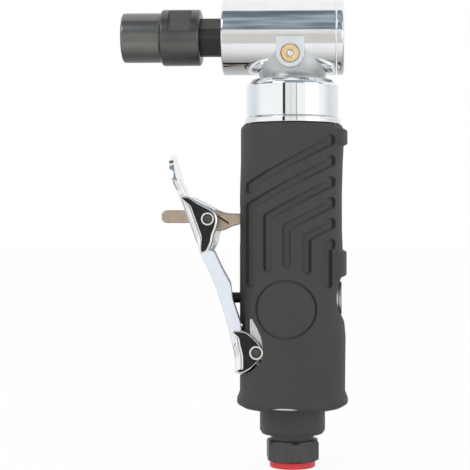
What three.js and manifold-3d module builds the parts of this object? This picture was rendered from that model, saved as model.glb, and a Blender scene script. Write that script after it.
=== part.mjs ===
// Right angle die grinder, in millimetres. The handle stands along +Z with the origin under its foot, the
// spindle points along -X, and the lever hangs on the -X side of the handle.
import * as THREE from "three";
import { mergeVertices } from "three/addons/utils/BufferGeometryUtils.js";
import Module from "manifold-3d";

const wasm = await Module();
wasm.setup();

// Fits and smoothness
const seatGap = 0.3;
const fitGap = 0.15;
const runningGap = 0.1;
const overrun = 6;
const wideSides = 28;
const plainSides = 16;
const smallSides = 8;
const curveSteps = 5;
const quarter = Math.PI / 2;

// Foot of the handle: transport plug, air inlet, exhaust collar
const plugFlangeRadius = 8.1;
const plugFlangeThickness = 2.3;
const plugStemLength = 4.5;
const plugWall = 1.2;
const inletBoreRadius = 5.7;
const inletBoreDepth = 13.2;
const hexAcrossFlats = 17.5;
const hexHeight = 8.3;
const hexTurn = THREE.MathUtils.degToRad(4.6);
const hexChamferAngle = THREE.MathUtils.degToRad(30);
const inletNeckRadius = 7.4;
const inletNeckRise = 0.7;
const inletThreadRadius = 6.95;
const inletThreadLength = 14;
const airPassageRadius = 3.5;
const screenThickness = 0.8;
const screenHoleRadius = 0.6;
const screenHoles = 8;
const washerWidth = 1.1;
const washerThickness = 1;
const collarRadius = 11.6;
const collarHeight = 9.9;
const collarWall = 0.9;
const collarFloor = 1.7;
const collarChamfer = 1.4;
const collarHoles = 10;
const collarHoleRadius = 0.8;
const silencerRise = 7.5;
const silencerSideGap = 0.2;

// Motor housing
const housingRadius = 15.5;
const housingLength = 99.5;
const flangeRadius = 17.1;
const flangeThickness = 2;
const spigotRadius = 14.7;
const spigotLength = 5.7;
const chamberRadius = 13.05;
const chamberFloorWall = 6;
const airPassageOut = 4.8;
const exhaustChannelRadius = 2.4;
const exhaustChannelOut = 11.6;
const drillRadius = 1.5;
const drillOut = 10.4;
const drillAngle = THREE.MathUtils.degToRad(235);

// Air motor
const plateThickness = 6;
const preloadLength = 8.0;
const linerBoreRadius = 10.5;
const linerOffset = 1.2;
const rotorRadius = 9;
const vaneCount = 4;
const vaneThickness = 1.4;
const vaneRootRadius = 4.8;
const vaneStandout = 0.15;
const smallShaftRadius = 4;
const driveHalfWidth = 1.9;
const driveLength = 5.6;
const driveStandoff = 2.3;
const locatingPinRadius = 0.8;
const locatingPinOut = 11.1;
const portRadius = 1.4;
const portCount = 5;
const preloadWall = 3.2;

// Ball bearings: one size on the small shafts and a larger one at the spindle's nose
const smallBearingRadius = 8;
const smallBearingWidth = 4.8;
const noseBearingRadius = 11;
const noseBearingWidth = 6;
const bearingRingWall = 1.2;
const shieldRecess = 0.4;

// Bevel pair
const gearPitchRadius = 8;
const gearTeeth = 16;
const pinionTeeth = 12;
const gearFaceWidth = 3.2;
const gearAddendum = 0.75;
const gearDedendum = 1.05;
const gearHubRadius = 5.4;
const gearBackRise = 1.6;
const gearHubLength = 2.6;
const toothHalfWidth = 0.58;
const toothFlankSlope = 0.36;
const pinionSpacerWall = 1.1;

// Head
const headRise = 29.1;
const headRadius = 13.4;
const headFront = 25.7;
const headBack = 15.5;
const headFrontWall = 2.8;
const headWall = 2.25;
const headEdge = 0.8;
const capThickness = 2.6;
const capEdge = 1.3;
const capSpigotLength = 6;
const neckRadius = 11.2;
const neckFlangeRadius = 14.55;
const neckFlangeThickness = 2;
const pinionShoulder = 1.4;
const padRadius = 4.95;
const padCentreDrop = 7.2;
const padFront = 13.55;
const padOut = 0.6;
const fittingRadius = 3.1;
const fittingLength = 4.6;
const fittingMouthRadius = 1.1;
const fittingMouthDepth = 0.8;

// Clamp nut
const clampNutRadius = 16.35;
const clampNutHeight = 13.9;
const clampNutChamfer = 2.3;
const clampNutTopRadius = 12.8;

// Spindle, collet and collet nut
const spindleRadius = 6.8;
const spindleFlats = 11.7;
const spindleFlatLength = 5.6;
const spindleFlatTurn = THREE.MathUtils.degToRad(40);
const spindleThreadRadius = 6;
const spindleThreadLength = 14.5;
const spindleSeatRadius = 5;
const nutRearOut = 32.4;
const nutFrontRadius = 8.8;
const nutFrontLength = 15;
const nutRearRadius = 9.95;
const nutRearLength = 15.1;
const nutEdge = 1.2;
const nutFlatWidth = 17;
const nutFlatLength = 8.2;
const nutFlatInset = 4;
const nutFlatTurn = THREE.MathUtils.degToRad(53);
const nutMouthRadius = 4.2;
const nutMouthLength = 9.3;
const colletBoreRadius = 3.175;
const colletNoseRadius = 5.5;
const colletTipRadius = 4;
const colletNoseLength = 6.2;
const colletConeLength = 13.5;
const colletConeRadius = 4.75;
const colletTailRadius = 4.2;
const colletSlotWidth = 0.8;
const colletSlots = 3;

// Rubber grip
const gripOverhang = 0.5;
const gripFrontRadius = 18.7;
const gripWaistFrontRadius = 18.35;
const gripWaistBackRadius = 17.6;
const gripFootBackRadius = 18.9;
const gripMiddleBackRadius = 17.9;
const gripTopBackRadius = 18.2;
const gripLipRadius = 19.7;
const gripEdgeRadius = 17.5;
const gripBandRise = 1.35;
const gripBandCosines = [0.5, 0.75];
const gripBandShares = [
  [0.468, 0.552],
  [0.934, 0.982],
];
const bandStepShare = 0.006;
const channelWidth = 3;
const channelDepth = 0.7;
const channelEndOut = 14.2;
const channelTopDrop = 7.1;
const channelPitch = 7.25;
const channelSlope = 0.54;
const channelTick = 2.6;
const channelLegOut = -12.6;
const channelLegPitch = 6.4;
const gripFootShares = [0, 0.013, 0.032, 0.057, 0.25, 0.36];
const gripTopShares = [0.63, 0.76, 0.87, 1];
const channelFootShares = [0.765, 0.445, 0.49, 0.505, 0.485, 0.44];
const channelLegSteps = [0, 0, 1, 2, 3, 4];
const medallionRadius = 10.3;
const medallionHeight = 56.6;
const medallionGroove = 0.8;
const medallionDepth = 0.5;
const gripNotchHalfWidth = 4.2;
const gripNotchRise = 1.1;

// Throttle lever, from its pivot upwards
const pivotOut = 12.2;
const pivotHeight = 41.3;
const leverLength = 69.3;
const leverHalfWidth = 11.8;
const leverSheet = 1.7;
const leverTipHalfWidth = 11;
const leverTipLength = 11;
const leverPinRadius = 1.65;
const leverPinHead = 0.5;
// Outer line of the lever as shares of its length: forward of the pivot, above the pivot
const leverLineShares = [
  [0.108, -0.103],
  [0.108, -0.02],
  [0.124, 0.04],
  [0.152, 0.156],
  [0.188, 0.272],
  [0.212, 0.345],
  [0.243, 0.417],
  [0.274, 0.477],
  [0.316, 0.59],
  [0.342, 0.661],
  [0.38, 0.766],
  [0.427, 0.866],
  [0.447, 0.95],
  [0.452, 1],
];
// Cheek beside the pivot as shares of the lever's length
const cheekShares = [
  [0.128, 0.113],
  [0.089, 0.113],
  [0.05, 0.108],
  [0.016, 0.081],
  [-0.024, 0.038],
  [-0.035, 0.005],
  [-0.03, -0.022],
  [-0.015, -0.042],
  [0.025, -0.082],
  [0.073, -0.107],
  [0.096, -0.103],
  [0.096, -0.02],
];
// Ear around the latch pin as shares of the lever's length
const earShares = [
  [0.386, 0.804],
  [0.31, 0.795],
  [0.259, 0.76],
  [0.218, 0.724],
  [0.198, 0.69],
  [0.196, 0.636],
  [0.205, 0.616],
  [0.232, 0.59],
  [0.277, 0.517],
];
const latchPinOutShare = 0.2446;
const latchPinRiseShare = 0.671;

// Safety latch
const latchHalfWidth = 2.5;
const latchPinRadius = 1.6;
const latchHubRadius = 3.1;
const latchTongueLength = 17.4;
const latchTongueHalfHeight = 2.3;
const latchTongueLift = 0.9;
const latchFootReach = 10.5;
const latchFootLow = -0.8;
const latchFootHigh = 2.1;
const latchFootEdge = 0.9;
const latchSlotGap = 0.35;
const latchSlotTopShare = 0.87;
const latchSlotFootShare = 0.625;
const latchReliefFloor = 16.3;
const latchReliefHalfWidth = 3;
const latchReliefTopShare = 0.728;
const latchReliefFootShare = 0.55;
const latchSpringWire = 0.4;
const latchSpringCurls = 4;
const latchSpringPitch = 1.5;
const latchSpringClearance = 0.35;
const latchSpringLeg = 4.5;

// Lug of the housing and the pockets of the grip around the lever's foot
const lugHalfWidth = 9.8;
const lugOut = 14.1;
const lugBack = 8;
const lugFoot = 32.6;
const lugTop = 55;
const pocketShares = [
  [0.3, 0.172],
  [0.026, 0.172],
  [-0.019, 0.128],
  [-0.045, 0.06],
  [-0.045, -0.04],
  [-0.012, -0.115],
  [0.3, -0.115],
];
const windowOut = 17.3;
const windowTopShare = 0.14;
const windowFootShare = -0.125;

// Throttle valve, across the handle
const valveHeight = 59.9;
const stemRadius = 1.9;
const stemLeverGap = 0.08;
const stemNose = 0.7;
const bushRadius = 3.9;
const bushLength = 7.2;
const chamberBoreRadius = 5;
const poppetFace = 0.1;
const valveSeatThickness = 3;
const valveSeatBoreRadius = 3;
const poppetRadius = 4;
const poppetThickness = 2.4;
const poppetGuideRadius = 1.5;
const poppetGuideLength = 4.4;
const valveSpringRadius = 2.9;
const valveSpringWire = 0.45;
const valveSpringCurls = 3;
const oRingWire = 0.5;
const regulatorBossRadius = 8.2;
const regulatorBossOut = 16;
const regulatorBoreRadius = 6.9;
const regulatorBoreDepth = 4;
const regulatorFlangeRadius = 6.6;
const regulatorFlangeThickness = 1.6;
const regulatorKnobRadius = 5.8;
const regulatorFace = 17.5;
const regulatorNeckRadius = 4.7;
const regulatorNeckLength = 3.4;
const regulatorSlotWidth = 1.4;
const regulatorSlotDepth = 1.2;
const regulatorClipThickness = 0.8;
const regulatorWindowGap = 0.4;
const stemWindowGap = 0.8;

// Levels that follow from the sizes above
const bushingFoot = plugFlangeThickness + seatGap;
const hexTop = bushingFoot + hexHeight;
const collarFoot = hexTop + inletNeckRise;
const collarTop = collarFoot + collarHeight;
const housingFoot = collarTop + seatGap;
const gripFoot = housingFoot - gripOverhang;
const flangeFoot = housingFoot + housingLength;
const flangeTop = flangeFoot + flangeThickness;
const spigotTop = flangeTop + spigotLength;
const gripTop = flangeFoot - seatGap;
const gripLength = gripTop - gripFoot;
const chamberFloor = valveHeight + regulatorBossRadius + chamberFloorWall;
const rearPlateFoot = chamberFloor + seatGap;
const linerFoot = rearPlateFoot + plateThickness + seatGap;
const frontPlateTop = spigotTop - preloadLength;
const frontPlateFoot = frontPlateTop - plateThickness;
const linerTop = frontPlateFoot - seatGap;
const linerLength = linerTop - linerFoot;
const frontBearingFoot = frontPlateTop - smallBearingWidth;
const headHeight = flangeTop + headRise;
const neckFoot = spigotTop + seatGap;
const clampNutFoot = flangeTop + seatGap;
const pinionPitchRadius = (gearPitchRadius * pinionTeeth) / gearTeeth;
const noseBearingBore = spindleSeatRadius + runningGap;
const smallBearingBore = smallShaftRadius + runningGap;
const plateRadius = chamberRadius - fitGap;
const bearingSeatRadius = smallBearingRadius + fitGap;
const headBoreRadius = headRadius - headWall;

// Materials
const finish = (color, roughness, metalness) => {
  return new THREE.MeshStandardMaterial({ color, roughness, metalness });
};
const chrome = finish(0xe4e6ea, 0.12, 1);
const castMetal = finish(0xb9bbbd, 0.45, 1);
const aluminium = finish(0xc4c6c8, 0.35, 1);
const gunmetal = finish(0x5b5c5c, 0.4, 0.9);
const darkSteel = finish(0x454545, 0.45, 0.9);
const brightSteel = finish(0xa9abad, 0.3, 1);
const tanSteel = finish(0x9c8a7c, 0.4, 1);
const brass = finish(0xd9a95c, 0.35, 1);
const gripRubber = finish(0x4b4a46, 0.75, 0);
const sealRubber = finish(0x1c1c1c, 0.7, 0);
const blackCoat = finish(0x3a3936, 0.5, 0.4);
const redPlastic = finish(0xe13c41, 0.45, 0);
const vaneResin = finish(0x6b4a2f, 0.6, 0);
const silencerFelt = finish(0x8d8a82, 0.95, 0);

// A closed geometry as a solid: shared corners are merged and flat triangles dropped.
function solid(geometry) {
  const bare = geometry.index ? geometry.toNonIndexed() : geometry.clone();
  bare.deleteAttribute("normal");
  bare.deleteAttribute("uv");
  const merged = mergeVertices(bare);
  const corners = Array.from(merged.index.array);
  const kept = [];
  for (let i = 0; i < corners.length; i += 3) {
    const [a, b, c] = corners.slice(i, i + 3);
    if (a !== b && b !== c && c !== a) kept.push(a, b, c);
  }
  const vertProperties = merged.attributes.position.array;
  return new wasm.Manifold(new wasm.Mesh({ numProp: 3, vertProperties, triVerts: new Uint32Array(kept) }));
}

const joined = (...bodies) => bodies.reduce((sum, body) => sum.add(body));
const cutBy = (body, ...cuts) => cuts.reduce((rest, cut) => rest.subtract(cut), body);

// A solid as a named mesh of the scene.
function piece(name, body, material) {
  const { vertProperties, triVerts } = body.getMesh();
  const geometry = new THREE.BufferGeometry();
  geometry.setAttribute("position", new THREE.BufferAttribute(vertProperties, 3));
  geometry.setIndex(new THREE.BufferAttribute(triVerts, 1));
  geometry.computeVertexNormals();
  const mesh = new THREE.Mesh(geometry, material);
  mesh.name = name;
  return mesh;
}

function group(pieces, x = 0, y = 0, z = 0) {
  const holder = new THREE.Group();
  holder.add(...pieces);
  holder.position.set(x, y, z);
  return holder;
}

// An outline of [radius, height] points turned about Z. It starts and ends on the axis, or closes on itself.
function turned(outline, sides = plainSides) {
  const points = outline.map(([radius, height]) => new THREE.Vector2(radius, height));
  if (THREE.ShapeUtils.area(points) < 0) points.reverse();
  if (points.some((point) => point.x === 0) === false) points.push(points[0].clone());
  return new THREE.LatheGeometry(points, sides).rotateX(quarter);
}

const alongX = (geometry) => geometry.rotateY(quarter);
const alongY = (geometry) => geometry.rotateX(-quarter);

// Outline of a plain rod and of a ring, from one height to another
const rod = (radius, from, to) => [
  [0, from],
  [radius, from],
  [radius, to],
  [0, to],
];
const ring = (inner, outer, from, to) => [
  [inner, from],
  [outer, from],
  [outer, to],
  [inner, to],
];

function box(x0, x1, y0, y1, z0, z1) {
  const sized = new THREE.BoxGeometry(x1 - x0, y1 - y0, z1 - z0);
  return sized.translate((x0 + x1) / 2, (y0 + y1) / 2, (z0 + z1) / 2);
}

function shapeOf(points) {
  return new THREE.Shape(points.map(([x, y]) => new THREE.Vector2(x, y)));
}

// A shape drawn in X and Y, raised from one height to another.
function raised(shape, from, to) {
  const depth = to - from;
  const geometry = new THREE.ExtrudeGeometry(shape, { depth, bevelEnabled: false, curveSegments: curveSteps });
  return geometry.translate(0, 0, from);
}

// A shape drawn in X and Z, carried across Y from one side to the other.
const across = (shape, from, to) => raised(shape, 0, to - from).rotateX(quarter).translate(0, to, 0);

// A straight drilled hole between two points.
function drilled(from, to, radius) {
  const line = new THREE.LineCurve3(new THREE.Vector3(...from), new THREE.Vector3(...to));
  const length = line.getLength();
  const way = line.getTangent(0);
  const turn = new THREE.Quaternion().setFromUnitVectors(new THREE.Vector3(0, 0, 1), way);
  return turned(rod(radius, 0, length), smallSides).applyQuaternion(turn).translate(...from);
}

// A wire of round section along a coil about Z with a straight leg at each end. Legs are lists of points.
function coilSpring(radius, wire, curls, pitch, legStart, legEnd) {
  const steps = 8;
  const sides = 5;
  const path = [...legStart];
  for (let i = 0; i <= curls * steps; i++) {
    const angle = (i / steps) * 2 * Math.PI;
    path.push([radius * Math.cos(angle), radius * Math.sin(angle), (i / steps) * pitch]);
  }
  path.push(...legEnd);
  const points = path.map((place) => new THREE.Vector3(...place));
  const corners = [];
  const axis = new THREE.Vector3(0, 0, 1);
  points.forEach((point, i) => {
    const ahead = points[Math.min(i + 1, points.length - 1)];
    const behind = points[Math.max(i - 1, 0)];
    const way = ahead.clone().sub(behind).normalize();
    const out = new THREE.Vector3().crossVectors(way, axis).normalize();
    const up = new THREE.Vector3().crossVectors(out, way);
    for (let k = 0; k < sides; k++) {
      const angle = (k / sides) * 2 * Math.PI;
      const spoke = out.clone().multiplyScalar(wire * Math.cos(angle));
      spoke.addScaledVector(up, wire * Math.sin(angle));
      corners.push(...point.clone().add(spoke).toArray());
    }
  });
  const faces = [];
  const last = (points.length - 1) * sides;
  for (let i = 0; i < last; i += sides) {
    for (let k = 0; k < sides; k++) {
      const next = (k + 1) % sides;
      faces.push(i + k, i + sides + k, i + next, i + next, i + sides + k, i + sides + next);
    }
  }
  for (let k = 1; k < sides - 1; k++) {
    faces.push(0, k, k + 1, last, last + k + 1, last + k);
  }
  const geometry = new THREE.BufferGeometry();
  geometry.setAttribute("position", new THREE.BufferAttribute(new Float32Array(corners), 3));
  geometry.setIndex(faces);
  return { geometry, gap: leastGap(points, wire, steps) };
}

// Least gap between stretches of a wire that lie more than half a curl apart.
function leastGap(points, wire, steps) {
  let least = Infinity;
  points.forEach((point, i) => {
    points.slice(i + steps / 2).forEach((other) => {
      least = Math.min(least, point.distanceTo(other));
    });
  });
  return least - 2 * wire;
}

// A ball bearing about Z with its shield set back between the two rings.
function bearing(bore, outer, foot, width) {
  const top = foot + width;
  const inside = bore + bearingRingWall;
  const outside = outer - bearingRingWall;
  const outline = [
    [bore, foot],
    [outer, foot],
    [outer, top],
    [outside, top],
    [outside, top - shieldRecess],
    [inside, top - shieldRecess],
    [inside, top],
    [bore, top],
  ];
  return turned(outline);
}

// Foot of the handle

function inletPlug() {
  const stemRadius = inletBoreRadius - seatGap;
  const stemTop = plugFlangeThickness + plugStemLength;
  const outline = [
    [0, 0],
    [plugFlangeRadius - seatGap, 0],
    [plugFlangeRadius, seatGap],
    [plugFlangeRadius, plugFlangeThickness],
    [stemRadius, plugFlangeThickness],
    [stemRadius, stemTop],
    [stemRadius - plugWall, stemTop],
    [stemRadius - plugWall, plugWall],
    [0, plugWall],
  ];
  return solid(turned(outline));
}

function inletBushing() {
  const cornerRadius = hexAcrossFlats / 2 / Math.cos(Math.PI / 6);
  const hexagon = new THREE.CylinderGeometry(cornerRadius, cornerRadius, hexHeight, 6)
    .rotateX(quarter)
    .rotateZ(hexTurn)
    .translate(0, 0, bushingFoot + hexHeight / 2);
  const flatRadius = hexAcrossFlats / 2;
  const cornerDrop = (cornerRadius - flatRadius + seatGap) * Math.tan(hexChamferAngle);
  const rounding = [
    [0, bushingFoot],
    [flatRadius, bushingFoot],
    [cornerRadius + seatGap, bushingFoot + cornerDrop],
    [cornerRadius + seatGap, hexTop - cornerDrop],
    [flatRadius, hexTop],
    [0, hexTop],
  ];
  const neckTop = housingFoot - seatGap - washerThickness - seatGap;
  const threadTop = housingFoot + inletThreadLength;
  const shank = [
    [0, hexTop - seatGap],
    [inletNeckRadius, hexTop - seatGap],
    [inletNeckRadius, neckTop],
    [inletThreadRadius, neckTop],
    [inletThreadRadius, threadTop],
    [0, threadTop],
  ];
  const boreTop = bushingFoot + inletBoreDepth;
  const bore = [
    [0, bushingFoot - overrun],
    [inletBoreRadius, bushingFoot - overrun],
    [inletBoreRadius, boreTop],
    [airPassageRadius, boreTop],
    [airPassageRadius, threadTop + overrun],
    [0, threadTop + overrun],
  ];
  const head = solid(hexagon).intersect(solid(turned(rounding, wideSides)));
  return cutBy(joined(head, solid(turned(shank))), solid(turned(bore)));
}

function inletScreen() {
  const top = bushingFoot + inletBoreDepth - seatGap;
  const disc = solid(turned(rod(inletBoreRadius - seatGap, top - screenThickness, top)));
  const holes = Array.from({ length: screenHoles }, (_, i) => {
    const angle = (i / screenHoles) * 2 * Math.PI;
    const out = inletBoreRadius / 2;
    const hole = turned(rod(screenHoleRadius, top - overrun, top + overrun), smallSides / 2);
    return solid(hole.translate(out * Math.cos(angle), out * Math.sin(angle), 0));
  });
  return cutBy(disc, ...holes);
}

function exhaustDeflector() {
  const inner = collarRadius - collarWall;
  const floorTop = collarFoot + collarFloor;
  const outline = [
    [inletNeckRadius + seatGap, collarFoot],
    [collarRadius - collarChamfer / 2, collarFoot],
    [collarRadius, collarFoot + collarChamfer],
    [collarRadius, collarTop],
    [inner, collarTop],
    [inner, floorTop],
    [inletNeckRadius + seatGap, floorTop],
  ];
  const holeOut = (inletNeckRadius + inner) / 2;
  const holes = Array.from({ length: collarHoles }, (_, i) => {
    const angle = (i / collarHoles) * 2 * Math.PI;
    const hole = turned(rod(collarHoleRadius, collarFoot - overrun, floorTop + overrun), smallSides / 2);
    return solid(hole.translate(holeOut * Math.cos(angle), holeOut * Math.sin(angle), 0));
  });
  return cutBy(solid(turned(outline, wideSides)), ...holes);
}

const silencerInner = inletNeckRadius + washerWidth;
const silencerOuter = collarRadius - collarWall - silencerSideGap;
const silencerTop = housingFoot + silencerRise;

function exhaustSilencer() {
  return solid(turned(ring(silencerInner, silencerOuter, collarFoot + collarFloor + seatGap, silencerTop)));
}

function inletWasher() {
  const top = housingFoot - seatGap;
  const outer = silencerInner - seatGap;
  return solid(turned(ring(inletThreadRadius + fitGap, outer, top - washerThickness, top)));
}

// Motor housing: body, lug for the lever, boss for the regulator, and the ways for air

function pocketOutline(shares) {
  return shapeOf(shares.map(leverPoint));
}

// Room on both sides of the lug for the lever's cheeks
function leverPockets() {
  const outline = pocketOutline(pocketShares);
  const far = flangeRadius + overrun;
  return joined(solid(across(outline, lugHalfWidth, far)), solid(across(outline, -far, -lugHalfWidth)));
}

const drillPlace = [drillOut * Math.cos(drillAngle), drillOut * Math.sin(drillAngle)];

function exhaustChannel() {
  const channel = turned(rod(exhaustChannelRadius, housingFoot + silencerRise / 2, linerTop), smallSides);
  return solid(channel.translate(0, exhaustChannelOut, 0));
}

function motorHousing() {
  const outline = [
    [0, housingFoot],
    [housingRadius, housingFoot],
    [housingRadius, flangeFoot],
    [flangeRadius, flangeFoot],
    [flangeRadius, flangeTop],
    [spigotRadius, flangeTop],
    [spigotRadius, spigotTop],
    [0, spigotTop],
  ];
  const lug = box(-lugOut, -lugBack, -lugHalfWidth, lugHalfWidth, lugFoot, lugTop);
  const bossRod = rod(regulatorBossRadius, housingRadius / 2, regulatorBossOut);
  const boss = alongX(turned(bossRod)).translate(0, 0, valveHeight);
  const body = joined(solid(turned(outline, wideSides)), solid(lug), solid(boss));
  const chamber = turned(rod(chamberRadius, chamberFloor, spigotTop + overrun), wideSides);
  const threadTop = housingFoot + inletThreadLength + seatGap;
  const inlet = turned(rod(inletThreadRadius + fitGap, housingFoot - overrun, threadTop));
  const mufflerTop = silencerTop + seatGap;
  const muffler = ring(silencerInner - seatGap, silencerOuter + seatGap, housingFoot - overrun, mufflerTop);
  const airWay = drilled([0, 0, threadTop - seatGap], [airPassageOut, 0, valveHeight], airPassageRadius);
  const motorWay = drilled(
    [-chamberBoreRadius, 0, valveHeight],
    [...drillPlace, chamberFloor + seatGap],
    drillRadius,
  );
  const pinRod = rod(leverPinRadius + fitGap, -flangeRadius, flangeRadius);
  const leverPinHole = alongY(turned(pinRod)).translate(-pivotOut, 0, pivotHeight);
  return cutBy(
    body,
    solid(chamber),
    leverPockets(),
    solid(inlet),
    solid(turned(muffler)),
    exhaustChannel(),
    solid(airWay),
    solid(motorWay),
    solid(valveBore()),
    solid(leverPinHole),
  );
}

// The stepped bore across the handle, from the bush at the front to the regulator at the back
function valveBore() {
  const bushEnd = -housingRadius + bushLength + seatGap;
  const bossFace = regulatorBossOut;
  const outline = [
    [0, -housingRadius - overrun],
    [bushRadius + fitGap, -housingRadius - overrun],
    [bushRadius + fitGap, bushEnd],
    [chamberBoreRadius, bushEnd],
    [chamberBoreRadius, bossFace - regulatorBoreDepth],
    [regulatorBoreRadius, bossFace - regulatorBoreDepth],
    [regulatorBoreRadius, bossFace + overrun],
    [0, bossFace + overrun],
  ];
  return alongX(turned(outline)).translate(0, 0, valveHeight);
}

// Air motor

const pocketDepth = smallBearingWidth + fitGap;
const shaftHole = smallShaftRadius + 2 * seatGap;

const pinHole = (foot, top) => {
  const hole = turned(rod(locatingPinRadius + fitGap, foot - overrun, top + overrun), smallSides);
  return solid(hole.translate(0, -locatingPinOut, 0));
};

function rearPlate() {
  const top = rearPlateFoot + plateThickness;
  const outline = [
    [bearingSeatRadius, rearPlateFoot],
    [plateRadius, rearPlateFoot],
    [plateRadius, top],
    [shaftHole, top],
    [shaftHole, rearPlateFoot + pocketDepth],
    [bearingSeatRadius, rearPlateFoot + pocketDepth],
  ];
  const airHole = turned(rod(drillRadius, rearPlateFoot - overrun, top + overrun), smallSides);
  airHole.translate(...drillPlace, 0);
  return cutBy(solid(turned(outline, wideSides)), pinHole(rearPlateFoot, top), solid(airHole));
}

function frontPlate() {
  const outline = [
    [shaftHole, frontPlateFoot],
    [plateRadius, frontPlateFoot],
    [plateRadius, frontPlateTop],
    [bearingSeatRadius, frontPlateTop],
    [bearingSeatRadius, frontPlateTop - pocketDepth],
    [shaftHole, frontPlateTop - pocketDepth],
  ];
  return cutBy(solid(turned(outline, wideSides)), pinHole(frontPlateFoot, frontPlateTop));
}

function cylinderLiner() {
  const sleeve = solid(turned(rod(plateRadius, linerFoot, linerTop), wideSides));
  const bore = turned(rod(linerBoreRadius, linerFoot - overrun, linerTop + overrun), wideSides);
  const ports = Array.from({ length: portCount }, (_, i) => {
    const height = linerFoot + (linerLength * (i + 1)) / (portCount + 1);
    const port = alongY(turned(rod(portRadius, 0, plateRadius + overrun), smallSides));
    return solid(port.translate(0, 0, height));
  });
  return cutBy(sleeve, solid(bore.translate(0, linerOffset, 0)), pinHole(linerFoot, linerTop), ...ports);
}

function locatingPin() {
  const foot = rearPlateFoot + plateThickness / 2;
  const pin = turned(rod(locatingPinRadius, foot, frontPlateTop - plateThickness / 2), smallSides);
  return solid(pin.translate(0, -locatingPinOut, 0));
}

const rotorFoot = linerFoot + seatGap / 2;
const rotorTop = linerTop - seatGap / 2;
const vaneAngle = (index) => ((index + 1 / 2) / vaneCount) * 2 * Math.PI;

function rotor() {
  const outline = [
    [0, rearPlateFoot + fitGap],
    [smallShaftRadius, rearPlateFoot + fitGap],
    [smallShaftRadius, rotorFoot],
    [rotorRadius, rotorFoot],
    [rotorRadius, rotorTop],
    [smallShaftRadius, rotorTop],
    [smallShaftRadius, frontPlateTop + fitGap],
    [0, frontPlateTop + fitGap],
  ];
  const halfSlot = vaneThickness / 2 + runningGap;
  const slots = Array.from({ length: vaneCount }, (_, i) => {
    const slot = box(
      vaneRootRadius - fitGap,
      rotorRadius + overrun,
      -halfSlot,
      halfSlot,
      rotorFoot - seatGap,
      rotorTop + seatGap,
    );
    return solid(slot.rotateZ(vaneAngle(i)));
  });
  const tongueTop = frontPlateTop + fitGap + driveLength;
  const half = driveHalfWidth;
  const tongue = box(-half, half, -half, half, frontPlateTop, tongueTop);
  return joined(cutBy(solid(turned(outline)), ...slots), solid(tongue));
}

function vane(index) {
  const blade = box(
    vaneRootRadius,
    rotorRadius + vaneStandout,
    -vaneThickness / 2,
    vaneThickness / 2,
    rotorFoot + fitGap,
    rotorTop - fitGap,
  );
  return solid(blade.rotateZ(vaneAngle(index)));
}

function preloadRing() {
  const outline = ring(plateRadius - preloadWall, plateRadius, frontPlateTop + seatGap, spigotTop);
  return solid(turned(outline, wideSides));
}

// Bevel pair. Both cones meet in the centre of the head, and a gear is drawn there with its axis on Z.

function bevelPlaces(pitchRadius, mateRadius) {
  const cone = Math.hypot(pitchRadius, mateRadius);
  const inner = (cone - gearFaceWidth) / cone;
  const place = (offset, share) => [
    share * (pitchRadius + (offset * mateRadius) / cone),
    share * (-mateRadius + (offset * pitchRadius) / cone),
  ];
  return { inner, place };
}

function bevelTooth(pitchRadius, mateRadius, angle) {
  const { inner, place } = bevelPlaces(pitchRadius, mateRadius);
  const sink = gearDedendum + seatGap;
  const corners = [];
  [1, inner].forEach((share) => {
    [-sink, gearAddendum].forEach((offset) => {
      const [radius, height] = place(offset, share);
      const halfWidth = share * (toothHalfWidth - offset * toothFlankSlope);
      corners.push([radius, -halfWidth, height], [radius, halfWidth, height]);
    });
  });
  const faces = [
    [0, 1, 3, 2],
    [4, 6, 7, 5],
    [0, 2, 6, 4],
    [1, 5, 7, 3],
    [2, 3, 7, 6],
    [0, 4, 5, 1],
  ];
  const geometry = new THREE.BufferGeometry();
  geometry.setAttribute("position", new THREE.BufferAttribute(new Float32Array(corners.flat()), 3));
  geometry.setIndex(faces.flatMap(([a, b, c, d]) => [a, b, c, a, c, d]));
  return geometry.rotateZ(angle);
}

function bevelTeeth(teeth, pitchRadius, mateRadius, firstShare) {
  return Array.from({ length: teeth }, (_, i) => {
    return bevelTooth(pitchRadius, mateRadius, ((i + firstShare) / teeth) * 2 * Math.PI);
  });
}

function bevelGear() {
  const { inner, place } = bevelPlaces(gearPitchRadius, pinionPitchRadius);
  const [rootRadius, rootHeight] = place(-gearDedendum, 1);
  const [frontRadius, frontHeight] = place(-gearDedendum, inner);
  const back = rootHeight - gearBackRise;
  const bore = smallShaftRadius + fitGap;
  const outline = [
    [bore, back - gearHubLength],
    [gearHubRadius, back - gearHubLength],
    [gearHubRadius, back],
    [rootRadius, back],
    [rootRadius, rootHeight],
    [frontRadius, frontHeight],
    [bore, frontHeight],
  ];
  const teeth = bevelTeeth(gearTeeth, gearPitchRadius, pinionPitchRadius, 1 / 2);
  const [blank, ...rest] = [turned(outline), ...teeth].map((geometry) => solid(alongX(geometry)));
  return { body: joined(blank, ...rest), back: back - gearHubLength };
}

const pinionShaftFoot = frontPlateTop + driveStandoff;

function bevelPinion() {
  const { inner, place } = bevelPlaces(pinionPitchRadius, gearPitchRadius);
  const [rootRadius, rootHeight] = place(-gearDedendum, 1);
  const [frontRadius, frontHeight] = place(-gearDedendum, inner);
  const outline = [
    [0, pinionShaftFoot - headHeight],
    [smallShaftRadius, pinionShaftFoot - headHeight],
    [smallShaftRadius, rootHeight - gearBackRise],
    [rootRadius, rootHeight - gearBackRise],
    [rootRadius, rootHeight],
    [frontRadius, frontHeight],
    [0, frontHeight],
  ];
  const half = driveHalfWidth + fitGap;
  const socketTop = frontPlateTop + driveLength + seatGap - headHeight;
  const socket = box(-half, half, -half, half, pinionShaftFoot - headHeight - overrun, socketTop);
  const teeth = bevelTeeth(pinionTeeth, pinionPitchRadius, gearPitchRadius, 0);
  return cutBy(joined(solid(turned(outline)), ...teeth.map(solid)), solid(socket));
}

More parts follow.
